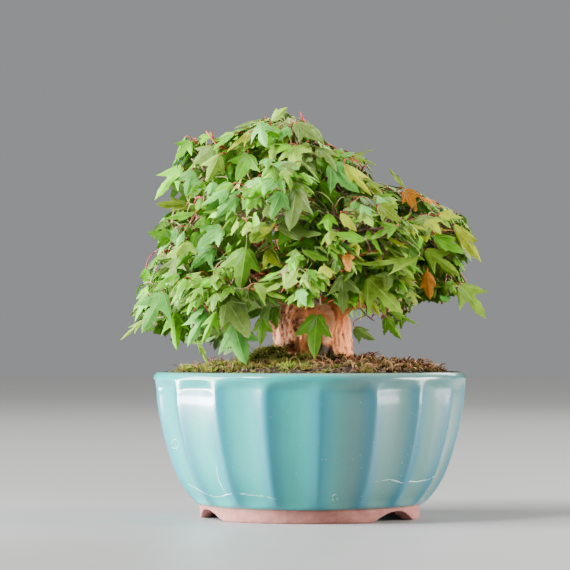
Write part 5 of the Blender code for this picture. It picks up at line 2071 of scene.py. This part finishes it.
class StudioSettings(bpy.types.PropertyGroup):
    floor: colour_setting("Floor", "The pale floor", (0.34, 0.34, 0.335))
    backdrop: colour_setting("Backdrop", "The colour round the object", (0.62, 0.63, 0.64))
    ambient: FloatProperty(name="Ambient", description="Strength of the light all round", default=0.07)
    backdrop_light: FloatProperty(
        name="Backdrop light", description="How bright the backdrop looks", default=0.47
    )
    key: power_setting("Key light", "Power of the left softbox", 300.0)
    fill: power_setting("Fill light", "Power of the right softbox", 155.0)
    top: FloatProperty(name="Top light", description="Strength of the light above", default=4.3)
    cards: power_setting("Low lights", "Power of the low light beside the pot", 4.0)
    back: power_setting("Back light", "Power of the light behind", 18.0)


# Operators


class MakePot(bpy.types.Operator):
    """Make the glazed bowl with its flutes"""

    bl_idname = "bonsai.make_pot"
    bl_label = "Glazed bowl"

    def execute(self, context):
        make_pot(context.scene.bonsai_pot)
        return {"FINISHED"}


class MakeFootRing(bpy.types.Operator):
    """Make the unglazed foot ring with its arches"""

    bl_idname = "bonsai.make_foot_ring"
    bl_label = "Foot ring"

    def execute(self, context):
        make_foot_ring(context.scene.bonsai_pot)
        return {"FINISHED"}


class MakeLimeMarks(bpy.types.Operator):
    """Make the lime marks on the glaze"""

    bl_idname = "bonsai.make_lime_marks"
    bl_label = "Lime marks"

    def execute(self, context):
        make_lime_marks(context.scene.bonsai_pot)
        return {"FINISHED"}


class MakeSoil(bpy.types.Operator):
    """Make the bed of soil and the grains on it"""

    bl_idname = "bonsai.make_soil"
    bl_label = "Soil"

    def execute(self, context):
        make_soil(context.scene.bonsai_ground)
        make_grains(context.scene.bonsai_ground)
        return {"FINISHED"}


class MakeMoss(bpy.types.Operator):
    """Make the moss with its cushions, shoots and stalks"""

    bl_idname = "bonsai.make_moss"
    bl_label = "Moss"

    def execute(self, context):
        make_cushions(context.scene.bonsai_ground)
        make_moss(context.scene.bonsai_ground)
        return {"FINISHED"}


class MakeBark(bpy.types.Operator):
    """Make the bark of the trunk and boughs"""

    bl_idname = "bonsai.make_bark"
    bl_label = "Trunk and boughs"

    def execute(self, context):
        make_bark(context.scene.bonsai_wood)
        return {"FINISHED"}


class MakeFoliage(bpy.types.Operator):
    """Grow the twigs and the leaves"""

    bl_idname = "bonsai.make_foliage"
    bl_label = "Twigs and leaves"

    def execute(self, context):
        make_foliage(context.scene.bonsai_foliage)
        return {"FINISHED"}


class MakeStage(bpy.types.Operator):
    """Make the floor, the lights and the camera"""

    bl_idname = "bonsai.make_stage"
    bl_label = "Stage"

    def execute(self, context):
        make_stage(context.scene.bonsai_studio)
        return {"FINISHED"}


class BonsaiPanel(bpy.types.Panel):
    """The bonsai's pieces and their settings"""

    bl_idname = "VIEW3D_PT_bonsai"
    bl_label = "Bonsai"
    bl_space_type = "VIEW_3D"
    bl_region_type = "UI"
    bl_category = "Bonsai"

    def draw(self, context):
        for settings_name, operators in PANEL_ROWS:
            box = self.layout.box()
            for operator in operators:
                box.operator(operator.bl_idname)
            settings = getattr(context.scene, settings_name)
            for name in settings.bl_rna.properties.keys():
                if name not in ("rna_type", "name"):
                    box.prop(settings, name)


PANEL_ROWS = (
    ("bonsai_pot", (MakePot, MakeFootRing, MakeLimeMarks)),
    ("bonsai_ground", (MakeSoil, MakeMoss)),
    ("bonsai_wood", (MakeBark,)),
    ("bonsai_foliage", (MakeFoliage,)),
    ("bonsai_studio", (MakeStage,)),
)
SETTINGS = {
    "bonsai_pot": PotSettings,
    "bonsai_ground": GroundSettings,
    "bonsai_wood": WoodSettings,
    "bonsai_foliage": FoliageSettings,
    "bonsai_studio": StudioSettings,
}
OPERATORS = [operator for _, operators in PANEL_ROWS for operator in operators]


def register():
    for kind in [*SETTINGS.values(), *OPERATORS, BonsaiPanel]:
        bpy.utils.register_class(kind)
    for name, kind in SETTINGS.items():
        setattr(bpy.types.Scene, name, PointerProperty(type=kind))


def unregister():
    for name in SETTINGS:
        delattr(bpy.types.Scene, name)
    for kind in [BonsaiPanel, *OPERATORS, *SETTINGS.values()]:
        bpy.utils.unregister_class(kind)


def main():
    register()
    bpy.ops.bonsai.make_pot()
    bpy.ops.bonsai.make_foot_ring()
    bpy.ops.bonsai.make_lime_marks()
    bpy.ops.bonsai.make_soil()
    bpy.ops.bonsai.make_moss()
    bpy.ops.bonsai.make_bark()
    bpy.ops.bonsai.make_foliage()
    bpy.ops.bonsai.make_stage()


if __name__ == "__main__":
    main()
